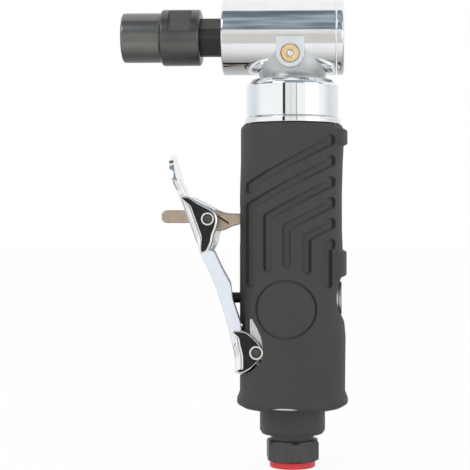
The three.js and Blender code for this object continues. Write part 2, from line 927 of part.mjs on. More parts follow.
const lowerBearingFoot = neckFoot + seatGap - headHeight;
const upperBearingFoot = lowerBearingFoot + smallBearingWidth + pinionShoulder + 2 * seatGap;

function pinionSpacer() {
  const foot = lowerBearingFoot + smallBearingWidth + seatGap;
  const outer = smallBearingBore + pinionSpacerWall;
  return solid(turned(ring(smallBearingBore, outer, foot, foot + pinionShoulder)));
}

// Head, drawn about its own axis

function headHousing() {
  const barrel = [
    [0, -headFront],
    [headRadius - headEdge, -headFront],
    [headRadius, -headFront + headEdge],
    [headRadius, headBack],
    [0, headBack],
  ];
  const foot = neckFoot - headHeight;
  const neck = [
    [0, foot],
    [neckFlangeRadius, foot],
    [neckFlangeRadius, foot + neckFlangeThickness],
    [neckRadius, foot + neckFlangeThickness],
    [neckRadius, 0],
    [0, 0],
  ];
  const padShape = new THREE.Shape();
  padShape.moveTo(padOut + padRadius, -padRadius / 2);
  padShape.lineTo(padOut - padRadius, -padRadius / 2);
  padShape.lineTo(padOut - padRadius, -padCentreDrop);
  padShape.absarc(padOut, -padCentreDrop, padRadius, Math.PI, 2 * Math.PI, false);
  const body = joined(
    solid(alongX(turned(barrel, wideSides))),
    solid(turned(neck, wideSides)),
    solid(across(padShape, -padFront, -padFront / 2)),
  );
  const frontHole = spindleRadius + seatGap;
  const bore = [
    [0, -headFront - overrun],
    [frontHole, -headFront - overrun],
    [frontHole, -headFront + headFrontWall],
    [headBoreRadius, -headFront + headFrontWall],
    [headBoreRadius, headBack + overrun],
    [0, headBack + overrun],
  ];
  const shoulder = upperBearingFoot + smallBearingWidth + fitGap;
  const { place } = bevelPlaces(pinionPitchRadius, gearPitchRadius);
  const neckBore = [
    [0, foot - overrun],
    [bearingSeatRadius, foot - overrun],
    [bearingSeatRadius, shoulder],
    [place(gearAddendum, 1)[0] + seatGap, shoulder],
    [place(gearAddendum, 1)[0] + seatGap, 0],
    [0, 0],
  ];
  const fittingEnd = fittingLength - padFront + seatGap;
  const fittingHole = alongY(turned(rod(fittingRadius + seatGap, -padFront - overrun, fittingEnd)));
  return cutBy(
    body,
    solid(alongX(turned(bore, wideSides))),
    solid(turned(neckBore)),
    solid(fittingHole.translate(padOut, 0, -padCentreDrop)),
  );
}

function headCap() {
  const face = headBack + seatGap;
  const back = face + capThickness;
  const spigot = headBoreRadius - fitGap;
  const seatFloor = face - fitGap * 2;
  const outline = [
    [0, seatFloor],
    [bearingSeatRadius, seatFloor],
    [bearingSeatRadius, face - capSpigotLength],
    [spigot, face - capSpigotLength],
    [spigot, face],
    [headRadius, face],
    [headRadius, back - capEdge],
    [headRadius - capEdge / 3, back - capEdge / 3],
    [headRadius - capEdge, back],
    [0, back],
  ];
  return solid(alongX(turned(outline, wideSides)));
}

function greaseFitting() {
  const front = -padFront + seatGap / 2;
  const outline = [
    [0, front + fittingMouthDepth],
    [fittingMouthRadius, front + fittingMouthDepth],
    [fittingMouthRadius, front],
    [fittingRadius, front],
    [fittingRadius, front + fittingLength],
    [0, front + fittingLength],
  ];
  return solid(alongY(turned(outline)).translate(padOut, 0, -padCentreDrop));
}

function clampNut() {
  const top = clampNutFoot + clampNutHeight;
  const lip = neckFoot + neckFlangeThickness + seatGap;
  const outline = [
    [spigotRadius + seatGap, clampNutFoot],
    [clampNutRadius - seatGap, clampNutFoot],
    [clampNutRadius, clampNutFoot + seatGap],
    [clampNutRadius, top - clampNutChamfer],
    [(clampNutRadius + clampNutTopRadius) / 2, top - clampNutChamfer / 4],
    [clampNutTopRadius, top],
    [neckRadius + seatGap, top],
    [neckRadius + seatGap, lip],
    [spigotRadius + seatGap, lip],
  ];
  return solid(turned(outline, wideSides));
}

// Spindle and what it carries, drawn about the head's axis

const noseBearingFront = headFront - headFrontWall - seatGap;
const colletShoulder = nutRearOut + spindleThreadLength - 2 * runningGap;
const colletTail = colletShoulder + seatGap - colletConeLength;

// Boxes that leave a pair of flats, or two pairs, on a rod about X
function flatCuts(across, from, to, turns) {
  return turns.map((turn) => {
    const slab = box(from, to, -across, across, across / 2, across / 2 + overrun);
    return solid(slab.rotateX(turn));
  });
}

function spindle() {
  const rear = headBack - fitGap * 4;
  const noseSeatBack = -noseBearingFront + noseBearingWidth;
  const flatFront = -nutRearOut + seatGap;
  const front = -colletShoulder;
  const outline = [
    [0, rear],
    [smallShaftRadius, rear],
    [smallShaftRadius, noseSeatBack + seatGap],
    [spindleSeatRadius, noseSeatBack + seatGap],
    [spindleSeatRadius, -noseBearingFront],
    [spindleRadius, -noseBearingFront],
    [spindleRadius, flatFront],
    [spindleThreadRadius, flatFront],
    [spindleThreadRadius, front],
    [colletConeRadius + fitGap, front],
    [colletTailRadius + fitGap, -colletTail + seatGap],
    [colletBoreRadius + seatGap, -colletTail + seatGap],
    [colletBoreRadius + seatGap, -colletTail + spindleFlatLength / 2],
    [0, -colletTail + spindleFlatLength / 2],
  ];
  const turns = [0, 1, 2, 3].map((i) => spindleFlatTurn + i * quarter);
  const flats = flatCuts(spindleFlats, flatFront, flatFront + spindleFlatLength, turns);
  return cutBy(solid(alongX(turned(outline))), ...flats);
}

function spindleSpacer(hubBack) {
  const front = -noseBearingFront + noseBearingWidth + 2 * seatGap;
  const inner = smallShaftRadius + fitGap;
  return solid(alongX(turned(ring(inner, inner + bearingRingWall, front, hubBack - seatGap))));
}

function collet() {
  const shoulder = -colletShoulder - seatGap;
  const tip = shoulder - colletNoseLength;
  const outline = [
    [colletBoreRadius, tip],
    [colletTipRadius, tip],
    [colletNoseRadius, tip + colletNoseRadius - colletTipRadius],
    [colletNoseRadius, shoulder],
    [colletConeRadius, shoulder],
    [colletTailRadius, shoulder + colletConeLength],
    [colletBoreRadius, shoulder + colletConeLength],
  ];
  const slotEnd = shoulder + colletConeLength - colletTailRadius / 2;
  const half = colletSlotWidth / 2;
  const slots = Array.from({ length: colletSlots }, (_, i) => {
    const slot = box(tip - overrun, slotEnd, -half, half, 0, colletNoseRadius + overrun);
    return solid(slot.rotateX((i / colletSlots) * 2 * Math.PI));
  });
  return cutBy(solid(alongX(turned(outline))), ...slots);
}

function colletNut() {
  const rear = -nutRearOut;
  const step = rear - nutRearLength;
  const front = step - nutFrontLength;
  const inner = spindleThreadRadius + seatGap;
  const outline = [
    [nutMouthRadius, front],
    [nutFrontRadius - nutEdge, front],
    [nutFrontRadius - nutEdge / 3, front + nutEdge / 3],
    [nutFrontRadius, front + nutEdge],
    [nutFrontRadius, step],
    [(nutFrontRadius + nutRearRadius) / 2, step],
    [nutRearRadius, step + nutEdge],
    [nutRearRadius, rear - nutEdge],
    [nutRearRadius - nutEdge, rear],
    [inner, rear],
    [inner, front + nutMouthLength + inner - nutMouthRadius],
    [nutMouthRadius, front + nutMouthLength],
  ];
  const flatFront = step + nutFlatInset - nutEdge;
  const flatTurns = [nutFlatTurn, nutFlatTurn + Math.PI];
  const flats = flatCuts(nutFlatWidth, flatFront, flatFront + nutFlatLength, flatTurns);
  return cutBy(solid(alongX(turned(outline, wideSides))), ...flats);
}

// Rubber grip. Its outline changes from the front of the handle to the back, so each row has two radii.

const [startShare, lipFootShare, lipTopShare, coneTopShare, bellyFootShare, bellyTopShare] = gripFootShares;
const [waistFootShare, waistTopShare, shoulderShare, topShare] = gripTopShares;
const gripRows = [
  [startShare, gripEdgeRadius, gripEdgeRadius, 0],
  [lipFootShare, gripLipRadius, gripLipRadius, 0],
  [lipTopShare, gripLipRadius, gripLipRadius, 0],
  [coneTopShare, gripFrontRadius, gripFrontRadius, 0],
  [bellyFootShare, gripFrontRadius, gripFootBackRadius, 0],
  [bellyTopShare, gripFrontRadius, gripMiddleBackRadius, 0],
  [gripBandShares[0][0] - bandStepShare, gripFrontRadius, gripMiddleBackRadius, 0],
  [gripBandShares[0][0], gripFrontRadius, gripMiddleBackRadius, 1],
  [gripBandShares[0][1], gripFrontRadius, gripMiddleBackRadius, 1],
  [gripBandShares[0][1] + bandStepShare, gripFrontRadius, gripMiddleBackRadius, 0],
  [waistFootShare, gripFrontRadius, gripWaistBackRadius, 0],
  [waistTopShare, gripFrontRadius, gripWaistBackRadius, 0],
  [shoulderShare, gripWaistFrontRadius, gripMiddleBackRadius, 0],
  [gripBandShares[1][0] - bandStepShare, gripWaistFrontRadius, gripTopBackRadius, 0],
  [gripBandShares[1][0], gripWaistFrontRadius, gripTopBackRadius, 1],
  [gripBandShares[1][1], gripWaistFrontRadius, gripTopBackRadius, 1],
  [gripBandShares[1][1] + bandStepShare, gripWaistFrontRadius, gripTopBackRadius, 0],
  [topShare, gripEdgeRadius, gripEdgeRadius, 0],
];

// The grip as a full body, with its surface moved inwards by an inset.
function gripBody(inset) {
  const corners = [];
  gripRows.forEach(([share, front, back, band]) => {
    for (let k = 0; k < wideSides; k++) {
      const angle = (k / wideSides) * 2 * Math.PI;
      const towardsBack = Math.cos(angle);
      const rise = band * gripBandRise * THREE.MathUtils.smoothstep(towardsBack, ...gripBandCosines);
      const radius = front + ((back - front) * (1 + towardsBack)) / 2 + rise - inset;
      corners.push(radius * towardsBack, radius * Math.sin(angle), gripFoot + share * gripLength);
    }
  });
  corners.push(0, 0, gripFoot, 0, 0, gripTop);
  const foot = gripRows.length * wideSides;
  const faces = [];
  for (let k = 0; k < wideSides; k++) {
    const next = (k + 1) % wideSides;
    for (let row = 0; row < foot - wideSides; row += wideSides) {
      faces.push(row + k, row + next, row + wideSides + k);
      faces.push(row + next, row + wideSides + next, row + wideSides + k);
    }
    faces.push(foot, next, k, foot + 1, foot - wideSides + k, foot - wideSides + next);
  }
  const geometry = new THREE.BufferGeometry();
  geometry.setAttribute("position", new THREE.BufferAttribute(new Float32Array(corners), 3));
  geometry.setIndex(faces);
  return solid(geometry);
}

// The outline of a line of given width with round ends. The line runs downwards.
function strokeShape(line, halfWidth) {
  const points = line.map(([x, y]) => new THREE.Vector2(x, y));
  const ways = points.slice(1).map((point, i) => point.clone().sub(points[i]).normalize());
  const left = [];
  const right = [];
  points.forEach((point, i) => {
    const before = ways[Math.max(i - 1, 0)];
    const after = ways[Math.min(i, ways.length - 1)];
    const bisector = before.clone().add(after).normalize();
    const reach = halfWidth / bisector.dot(after);
    left.push([point.x - bisector.y * reach, point.y + bisector.x * reach]);
    right.push([point.x + bisector.y * reach, point.y - bisector.x * reach]);
  });
  const cap = (centre, start) => {
    return Array.from({ length: curveSteps - 1 }, (_, i) => {
      const angle = start + (Math.PI * (i + 1)) / curveSteps;
      return [centre.x + halfWidth * Math.cos(angle), centre.y + halfWidth * Math.sin(angle)];
    });
  };
  const end = points[points.length - 1];
  return shapeOf([...right, ...cap(end, Math.PI), ...left.reverse(), ...cap(points[0], 0)]);
}

function channelCuts() {
  const far = gripLipRadius + overrun;
  return channelFootShares.map((footShare, i) => {
    const end = gripTop - channelTopDrop - channelPitch * i;
    const leg = channelLegOut + channelLegPitch * channelLegSteps[i];
    const line = [
      [channelEndOut, end + channelTick],
      [channelEndOut, end],
      [leg, end - channelSlope * (channelEndOut - leg)],
      [leg, gripFoot + footShare * gripLength],
    ];
    return solid(across(strokeShape(line, channelWidth / 2), -far, far));
  });
}

function medallionCut() {
  const far = gripLipRadius + overrun;
  const groove = turned(ring(medallionRadius - medallionGroove, medallionRadius, -far, far), wideSides);
  return solid(alongY(groove).translate(0, 0, medallionHeight)).subtract(gripBody(medallionDepth));
}

function gripSleeve() {
  const far = gripLipRadius + overrun;
  const leverRise = (share) => pivotHeight + share * leverLength;
  const inside = turned(rod(housingRadius + seatGap, gripFoot - overrun, gripTop + overrun), wideSides);
  const lugRoom = box(
    -lugOut - seatGap,
    0,
    -lugHalfWidth - seatGap,
    lugHalfWidth + seatGap,
    lugFoot - seatGap,
    lugTop + seatGap,
  );
  const windowHalfWidth = leverHalfWidth + seatGap;
  const window = box(
    -far,
    -windowOut,
    -windowHalfWidth,
    windowHalfWidth,
    leverRise(windowFootShare),
    leverRise(windowTopShare),
  );
  const relief = box(
    -far,
    -latchReliefFloor,
    -latchReliefHalfWidth,
    latchReliefHalfWidth,
    leverRise(latchReliefFootShare),
    leverRise(latchReliefTopShare),
  );
  const stemHole = alongX(turned(rod(stemRadius + stemWindowGap, -far, 0))).translate(0, 0, valveHeight);
  const knobRod = rod(regulatorBossRadius + regulatorWindowGap, 0, far);
  const knobHole = alongX(turned(knobRod)).translate(0, 0, valveHeight);
  const notchTop = gripFoot + gripNotchRise;
  const notch = box(-gripNotchHalfWidth, gripNotchHalfWidth, -far, 0, gripFoot - overrun, notchTop);
  const channels = channelCuts().map((cut) => cut.subtract(gripBody(channelDepth)));
  const cuts = [inside, lugRoom, window, relief, stemHole, knobHole, notch].map(solid);
  return cutBy(gripBody(0), ...channels, medallionCut(), ...cuts, leverPockets());
}

// Throttle lever with its safety latch

const leverPoint = ([out, rise]) => [-pivotOut - out * leverLength, pivotHeight + rise * leverLength];
const latchPin = leverPoint([latchPinOutShare, latchPinRiseShare]);

function leverWeb() {
  const outer = leverLineShares.map((share) => new THREE.Vector2(...leverPoint(share)));
  const inner = outer.map((point, i) => {
    const ahead = outer[Math.min(i + 1, outer.length - 1)];
    const behind = outer[Math.max(i - 1, 0)];
    const way = ahead.clone().sub(behind).normalize();
    return new THREE.Vector2(point.x + way.y * leverSheet, point.y - way.x * leverSheet);
  });
  return new THREE.Shape([...outer, ...inner.reverse()]);
}

// The lever's front view: parallel sides and a tip like half an ellipse
function leverFront() {
  const top = pivotHeight + leverLength + seatGap;
  const shape = new THREE.Shape();
  shape.moveTo(-leverHalfWidth, pivotHeight - leverLength / 2);
  shape.lineTo(leverHalfWidth, pivotHeight - leverLength / 2);
  shape.lineTo(leverHalfWidth, top - leverTipLength - leverSheet);
  shape.lineTo(leverTipHalfWidth, top - leverTipLength);
  shape.absellipse(0, top - leverTipLength, leverTipHalfWidth, leverTipLength, 0, Math.PI, false);
  shape.lineTo(-leverHalfWidth, top - leverTipLength - leverSheet);
  const yzx = new THREE.Matrix4().makeBasis(
    new THREE.Vector3(0, 1, 0),
    new THREE.Vector3(0, 0, 1),
    new THREE.Vector3(1, 0, 0),
  );
  return raised(shape, -leverLength, leverLength).applyMatrix4(yzx);
}

function throttleLever() {
  const web = solid(across(leverWeb(), -leverHalfWidth, leverHalfWidth)).intersect(solid(leverFront()));
  const cheeks = [cheekShares, earShares].flatMap((shares) => {
    const outline = shapeOf(shares.map(leverPoint));
    return [
      solid(across(outline, leverHalfWidth - leverSheet, leverHalfWidth)),
      solid(across(outline, -leverHalfWidth, leverSheet - leverHalfWidth)),
    ];
  });
  const latchSlot = box(
    -pivotOut - leverLength,
    -pivotOut,
    -latchHalfWidth - latchSlotGap,
    latchHalfWidth + latchSlotGap,
    pivotHeight + latchSlotFootShare * leverLength,
    pivotHeight + latchSlotTopShare * leverLength,
  );
  const holes = [
    [leverPinRadius, -pivotOut, pivotHeight],
    [latchPinRadius, ...latchPin],
  ].map(([radius, x, z]) => {
    const far = leverHalfWidth + overrun;
    return solid(alongY(turned(rod(radius + fitGap, -far, far))).translate(x, 0, z));
  });
  return cutBy(joined(web, ...cheeks), solid(latchSlot), ...holes);
}

// A pin across the lever, standing out a little on both sides, drawn about its own axis
function crossPin(radius) {
  const end = leverHalfWidth + leverPinHead;
  const outline = [
    [0, -end],
    [radius - leverPinHead / 2, -end],
    [radius, -end + leverPinHead / 2],
    [radius, end - leverPinHead / 2],
    [radius - leverPinHead / 2, end],
    [0, end],
  ];
  return solid(alongY(turned(outline)));
}

// The latch, drawn about its pin: a long tongue to press on and a foot that meets the grip
function safetyLatch() {
  const hub = alongY(turned(rod(latchHubRadius, -latchHalfWidth, latchHalfWidth)));
  const tongue = new THREE.Shape();
  const centre = latchTongueHalfHeight - latchTongueLength;
  tongue.moveTo(0, -latchHubRadius);
  tongue.lineTo(0, latchHubRadius);
  tongue.lineTo(centre, latchTongueLift + latchTongueHalfHeight);
  tongue.absarc(centre, latchTongueLift, latchTongueHalfHeight, quarter, 3 * quarter, false);
  const foot = new THREE.Shape();
  foot.moveTo(0, latchFootLow);
  foot.lineTo(latchFootReach - latchFootEdge, latchFootLow);
  const bend = latchFootReach - latchFootEdge;
  foot.absarc(bend, latchFootLow + latchFootEdge, latchFootEdge, -quarter, 0, false);
  foot.absarc(bend, latchFootHigh - latchFootEdge, latchFootEdge, 0, quarter, false);
  foot.lineTo(0, latchHubRadius);
  const body = joined(
    solid(hub),
    solid(across(tongue, -latchHalfWidth, latchHalfWidth)),
    solid(across(foot, -latchHalfWidth, latchHalfWidth)),
  );
  const hole = turned(rod(latchPinRadius + fitGap, -leverHalfWidth, leverHalfWidth));
  return cutBy(body, solid(alongY(hole)));
}

// The latch's spring, around its pin and beside it. Its first and last stretches lie straight.
function latchSpring() {
  const radius = latchPinRadius + latchSpringClearance + latchSpringWire;
  const height = latchSpringCurls * latchSpringPitch;
  const { geometry, gap } = coilSpring(
    radius,
    latchSpringWire,
    latchSpringCurls,
    latchSpringPitch,
    [[radius, -latchSpringLeg, 0]],
    [[radius, latchSpringLeg, height]],
  );
  console.log("latch_spring least gap to itself, mm:", gap.toFixed(2));
  const start = latchHalfWidth + latchSpringClearance + latchSpringWire;
  return solid(alongY(geometry).translate(0, start, 0));
}

// Throttle valve, drawn about its own axis

// How far out the lever's outer line stands at a height
function leverFaceOut(height) {
  const share = (height - pivotHeight) / leverLength;
  const next = leverLineShares.findIndex(([, rise]) => rise > share);
  const [lowOut, lowRise] = leverLineShares[next - 1];
  const [highOut, highRise] = leverLineShares[next];
  const out = THREE.MathUtils.mapLinear(share, lowRise, highRise, lowOut, highOut);
  return pivotOut + out * leverLength;
}

// The stem ends just short of the lever's sheet, which leans at the stem's lower edge.
const sheetOut = leverFaceOut(valveHeight - stemRadius);
const sheetLean = (leverFaceOut(valveHeight) - sheetOut) / stemRadius;
const stemTipOut = sheetOut - leverSheet * Math.hypot(1, sheetLean) - stemLeverGap;
const bushFront = -housingRadius + seatGap;
const bushMiddle = bushFront + bushLength / 2;
const ringSeatGap = fitGap;

// An elastic ring of round section about X
function oRing(radius, place) {
  const geometry = new THREE.TorusGeometry(radius, oRingWire, curveSteps, plainSides);
  return solid(alongX(geometry).translate(place, 0, 0));
}

function valveBushing() {
  const bore = stemRadius + runningGap;
  const groove = bore + 2 * oRingWire + ringSeatGap;
  const half = oRingWire + ringSeatGap;
  const outline = [
    [bore, bushFront],
    [bushRadius, bushFront],
    [bushRadius, bushFront + bushLength],
    [bore, bushFront + bushLength],
    [bore, bushMiddle + half],
    [groove, bushMiddle + half],
    [groove, bushMiddle - half],
    [bore, bushMiddle - half],
  ];
  return solid(alongX(turned(outline)));
}

function valveStem() {
  const end = poppetFace - fitGap;
  const outline = [
    [0, -stemTipOut],
    [stemRadius - stemNose, -stemTipOut],
    [stemRadius, -stemTipOut + stemNose],
    [stemRadius, end],
    [0, end],
  ];
  return solid(alongX(turned(outline)));
}

function valveSeat() {
  const back = poppetFace - seatGap;
  const front = back - valveSeatThickness;
  return solid(alongX(turned(ring(valveSeatBoreRadius, chamberBoreRadius - fitGap, front, back))));
}

function valvePoppet() {
  const back = poppetFace + poppetThickness;
  const outline = [
    [0, poppetFace],
    [poppetRadius, poppetFace],
    [poppetRadius, back],
    [poppetGuideRadius, back],
    [poppetGuideRadius, back + poppetGuideLength],
    [0, back + poppetGuideLength],
  ];
  return solid(alongX(turned(outline)));
}

const regulatorFloor = regulatorBossOut - regulatorBoreDepth;
const flangeFront = regulatorFloor + seatGap;
const regulatorNeckFront = flangeFront - regulatorNeckLength;

function valveSpring() {
  const start = poppetFace + poppetThickness + seatGap / 2 + valveSpringWire;
  const end = regulatorNeckFront - seatGap - valveSpringWire;
  const pitch = (end - start) / valveSpringCurls;
  const { geometry, gap } = coilSpring(valveSpringRadius, valveSpringWire, valveSpringCurls, pitch, [], []);
  console.log("valve_spring least gap to itself, mm:", gap.toFixed(2));
  return solid(alongX(geometry).translate(start, 0, 0));
}

function airRegulator() {
  const neckMiddle = (regulatorNeckFront + flangeFront) / 2;
  const ringRadius = chamberBoreRadius - ringSeatGap - oRingWire;
  const grooveRadius = ringRadius - oRingWire - ringSeatGap;
  const half = oRingWire + ringSeatGap;
  const socket = poppetGuideRadius + 2 * seatGap;
  const flangeBack = flangeFront + regulatorFlangeThickness;
  const outline = [
    [0, flangeFront],
    [socket, flangeFront],
    [socket, regulatorNeckFront],
    [regulatorNeckRadius, regulatorNeckFront],
    [regulatorNeckRadius, neckMiddle - half],
    [grooveRadius, neckMiddle - half],
    [grooveRadius, neckMiddle + half],
    [regulatorNeckRadius, neckMiddle + half],
    [regulatorNeckRadius, flangeFront],
    [regulatorFlangeRadius, flangeFront],
    [regulatorFlangeRadius, flangeBack],
    [regulatorKnobRadius, flangeBack],
    [regulatorKnobRadius, regulatorFace - seatGap],
    [regulatorKnobRadius - seatGap, regulatorFace],
    [0, regulatorFace],
  ];
  const slotHalf = regulatorSlotWidth / 2;
  const slot = box(
    regulatorFace - regulatorSlotDepth,
    regulatorFace + overrun,
    -regulatorKnobRadius - overrun,
    regulatorKnobRadius + overrun,
    -slotHalf,
    slotHalf,
  );
  return {
    body: cutBy(solid(alongX(turned(outline))), solid(slot)),
    ring: oRing(ringRadius, neckMiddle),
    clip: solid(
      alongX(
        turned(
          ring(
            regulatorKnobRadius + seatGap,
            regulatorBoreRadius - fitGap,
            flangeBack + seatGap,
            flangeBack + seatGap + regulatorClipThickness,
          ),
        ),
      ),
    ),
  };
}

// The whole tool
const gear = bevelGear();
const regulator = airRegulator();
const rearBearingFoot = headBack + seatGap - 3 * fitGap - smallBearingWidth;

const footPieces = [
  piece("inlet_plug", inletPlug(), redPlastic),
  piece("inlet_bushing", inletBushing(), darkSteel),
  piece("inlet_screen", inletScreen(), brass),
  piece("exhaust_deflector", exhaustDeflector(), blackCoat),
  piece("exhaust_silencer", exhaustSilencer(), silencerFelt),
  piece("inlet_washer", inletWasher(), sealRubber),
];

const handlePieces = [
  piece("motor_housing", motorHousing(), aluminium),
  piece("grip_sleeve", gripSleeve(), gripRubber),
  piece("clamp_nut", clampNut(), chrome),
  piece("rear_plate", rearPlate(), castMetal),
  piece("front_plate", frontPlate(), castMetal),
  piece("cylinder_liner", cylinderLiner(), brightSteel),
  piece("locating_pin", locatingPin(), brightSteel),
  piece("preload_ring", preloadRing(), castMetal),
  piece(
    "rotor_rear_bearing",
    solid(bearing(smallBearingBore, smallBearingRadius, rearPlateFoot, smallBearingWidth)),
    brightSteel,
  ),
  piece(
    "rotor_front_bearing",
    solid(bearing(smallBearingBore, smallBearingRadius, frontBearingFoot, smallBearingWidth)),
    brightSteel,
  ),
  piece("rotor", rotor(), brightSteel),
  ...Array.from({ length: vaneCount }, (_, i) => piece(`vane_${i + 1}`, vane(i), vaneResin)),
];

const headPieces = [
  piece("head_housing", headHousing(), chrome),
  piece("head_cap", headCap(), chrome),
  piece("grease_fitting", greaseFitting(), brass),
  piece("bevel_pinion", bevelPinion(), brightSteel),
  piece(
    "pinion_lower_bearing",
    solid(bearing(smallBearingBore, smallBearingRadius, lowerBearingFoot, smallBearingWidth)),
    brightSteel,
  ),
  piece("pinion_spacer", pinionSpacer(), darkSteel),
  piece(
    "pinion_upper_bearing",
    solid(bearing(smallBearingBore, smallBearingRadius, upperBearingFoot, smallBearingWidth)),
    brightSteel,
  ),
  piece("bevel_gear", gear.body, brightSteel),
  piece("spindle", spindle(), darkSteel),
  piece("spindle_spacer", spindleSpacer(gear.back), darkSteel),
  piece(
    "spindle_front_bearing",
    solid(alongX(bearing(noseBearingBore, noseBearingRadius, -noseBearingFront, noseBearingWidth))),
    brightSteel,
  ),
  piece(
    "spindle_rear_bearing",
    solid(alongX(bearing(smallBearingBore, smallBearingRadius, rearBearingFoot, smallBearingWidth))),
    brightSteel,
  ),
  piece("collet", collet(), darkSteel),
  piece("collet_nut", colletNut(), gunmetal),
];

const valvePieces = [
  piece("valve_bushing", valveBushing(), brass),
  piece("stem_o_ring", oRing(stemRadius + runningGap + oRingWire, bushMiddle), sealRubber),
  piece("valve_stem", valveStem(), darkSteel),
  piece("valve_seat", valveSeat(), sealRubber),
  piece("valve_poppet", valvePoppet(), brass),
  piece("valve_spring", valveSpring(), brightSteel),
  piece("air_regulator", regulator.body, aluminium),
  piece("regulator_o_ring", regulator.ring, sealRubber),
  piece("regulator_clip", regulator.clip, darkSteel),
];

const latchPieces = [
  piece("latch_pin", crossPin(latchPinRadius), brightSteel),
  piece("safety_latch", safetyLatch(), tanSteel),
  piece("latch_spring", latchSpring(), brightSteel),
];

const tool = group([
  group(footPieces),
  group(handlePieces),
  group(headPieces, 0, 0, headHeight),
  group(valvePieces, 0, 0, valveHeight),
  piece("throttle_lever", throttleLever(), chrome),
  group([piece("lever_pin", crossPin(leverPinRadius), brightSteel)], -pivotOut, 0, pivotHeight),
  group(latchPieces, latchPin[0], 0, latchPin[1]),
]);
tool.name = "right_angle_die_grinder";

export default tool;
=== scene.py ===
# Looks of a right angle die grinder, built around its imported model, in millimetres until a mesh is made
import math

import bmesh
import bpy
import numpy as np
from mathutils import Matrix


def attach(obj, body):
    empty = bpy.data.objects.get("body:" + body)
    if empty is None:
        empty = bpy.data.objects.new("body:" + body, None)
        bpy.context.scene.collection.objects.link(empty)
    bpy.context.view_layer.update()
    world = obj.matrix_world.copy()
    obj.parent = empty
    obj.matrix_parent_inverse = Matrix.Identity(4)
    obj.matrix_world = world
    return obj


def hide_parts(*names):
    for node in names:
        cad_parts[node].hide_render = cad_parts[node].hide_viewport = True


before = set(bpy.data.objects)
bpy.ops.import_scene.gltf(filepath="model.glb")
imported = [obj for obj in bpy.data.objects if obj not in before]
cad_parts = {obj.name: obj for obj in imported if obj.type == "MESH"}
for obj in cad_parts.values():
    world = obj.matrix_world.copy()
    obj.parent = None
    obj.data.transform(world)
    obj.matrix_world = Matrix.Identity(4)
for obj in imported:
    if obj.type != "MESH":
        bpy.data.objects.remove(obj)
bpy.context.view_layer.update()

scene = bpy.context.scene
turn = 2 * math.pi
headHeight = 152.4
valveHeight = 59.9
leverPivot = (-12.2, 41.3)
leverLength = 69.3
origin = (0, 0, 0)
valveCentre = (0, 0, valveHeight)

# Columns round a large turned piece, and round one with flats
fineSides = 192
flatSides = 240


# Shapes

# A smooth step: 0 below low, 1 above high, and 3t^2 - 2t^3 between them
def smoothStep(low, high, value):
    t = np.clip((value - low) / (high - low), 0, 1)
    return t * t * (3 - 2 * t)


# Corners of a profile rounded: a corner P with rounding r becomes the curve (1-t)^2 S + 2t(1-t) P + t^2 E,
# where S and E lie r away from P on its two sides. A point just outside each end keeps the flats flat when
# shaded smooth.
def rounded(corners, steps=6):
    points = [np.array(corner[:2], float) for corner in corners]
    made = [points[0]]
    for before, here, corner, after in zip(points, points[1:-1], corners[1:-1], points[2:]):
        radius = corner[2] if len(corner) > 2 else 0
        if radius == 0:
            made.append(here)
            continue
        back, ahead = before - here, after - here
        backLength, aheadLength = np.linalg.norm(back), np.linalg.norm(ahead)
        start = here + back / backLength * min(radius, 0.48 * backLength)
        end = here + ahead / aheadLength * min(radius, 0.48 * aheadLength)
        t = np.linspace(0, 1, steps + 1)[:, None]
        curve = (1 - t) ** 2 * start + 2 * t * (1 - t) * here + t * t * end
        made += [start + (start - here) * 0.04, *curve, end + (end - here) * 0.04]
    made.append(points[-1])
    return np.array(made)


# A closed outline with its corners rounded in the same way, as points an even spacing apart
def roundedLoop(corners, spacing=0.4):
    first, second = np.array(corners[0][:2], float), np.array(corners[1][:2], float)
    middle = (*((first + second) / 2), 0)
    loop = rounded([middle, *corners[1:], corners[0], middle])
    return evenly(loop, spacing)[:-1]


# Points along a line an even spacing apart, by its running length
def evenly(line, spacing):
    steps = np.linalg.norm(np.diff(line, axis=0), axis=1)
    line = line[np.concatenate([[True], steps > 1e-9])]
    length = np.concatenate([[0], np.cumsum(steps[steps > 1e-9])])
    places = np.linspace(0, length[-1], int(length[-1] / spacing) + 2)
    return np.column_stack([np.interp(places, length, line[:, axis]) for axis in range(line.shape[1])])


# A profile of (radius, height) turned about an axis: radius cos a and radius sin a across it, height along
# it. A limit, the most that the radius may be at each angle and height, cuts flats.
def turnedGrid(profile, axis, centre, sides=96, limit=None, start=0.0):
    profile = np.asarray(profile, float)
    angle = np.arange(sides) / sides * turn + start
    radius = np.repeat(profile[:, :1], sides, axis=1)
    height = np.repeat(profile[:, 1:2], sides, axis=1)
    if limit is not None:
        radius = np.minimum(radius, limit(angle[None, :], height))
    along, across = radius * np.cos(angle), radius * np.sin(angle)
    parts = {"X": (height, along, across), "Y": (across, height, along), "Z": (along, across, height)}[axis]
    return np.stack(parts, axis=-1) + np.array(centre, float)


# The mesh of a grid of points, closed round its columns when wrap is on. Faces outside keep are left out.
def gridMesh(name, grid, wrap=True, keep=None, caps=False):
    rows, columns = grid.shape[:2]
    index = np.arange(rows * columns).reshape(rows, columns)
    around = np.concatenate([index, index[:, :1]], axis=1) if wrap else index
    quads = np.stack([around[:-1, :-1], around[:-1, 1:], around[1:, 1:], around[1:, :-1]], axis=-1)
    faces = (quads.reshape(-1, 4) if keep is None else quads[keep]).tolist()
    if caps:
        faces += [index[0, ::-1].tolist(), index[-1].tolist()]
    mesh = bpy.data.meshes.new(name)
    mesh.from_pydata((grid.reshape(-1, 3) * 0.001).tolist(), [], faces)
    return mesh


# An outline turned counterclockwise, by the sign of its area
def counterclockwise(outline):
    following = np.roll(outline, -1, axis=0)
    area = np.sum(outline[:, 0] * following[:, 1] - following[:, 0] * outline[:, 1])
    return outline[::-1] if area < 0 else outline


# Vectors brought to a length of 1
def unit(vectors):
    return vectors / np.linalg.norm(vectors, axis=1)[:, None]


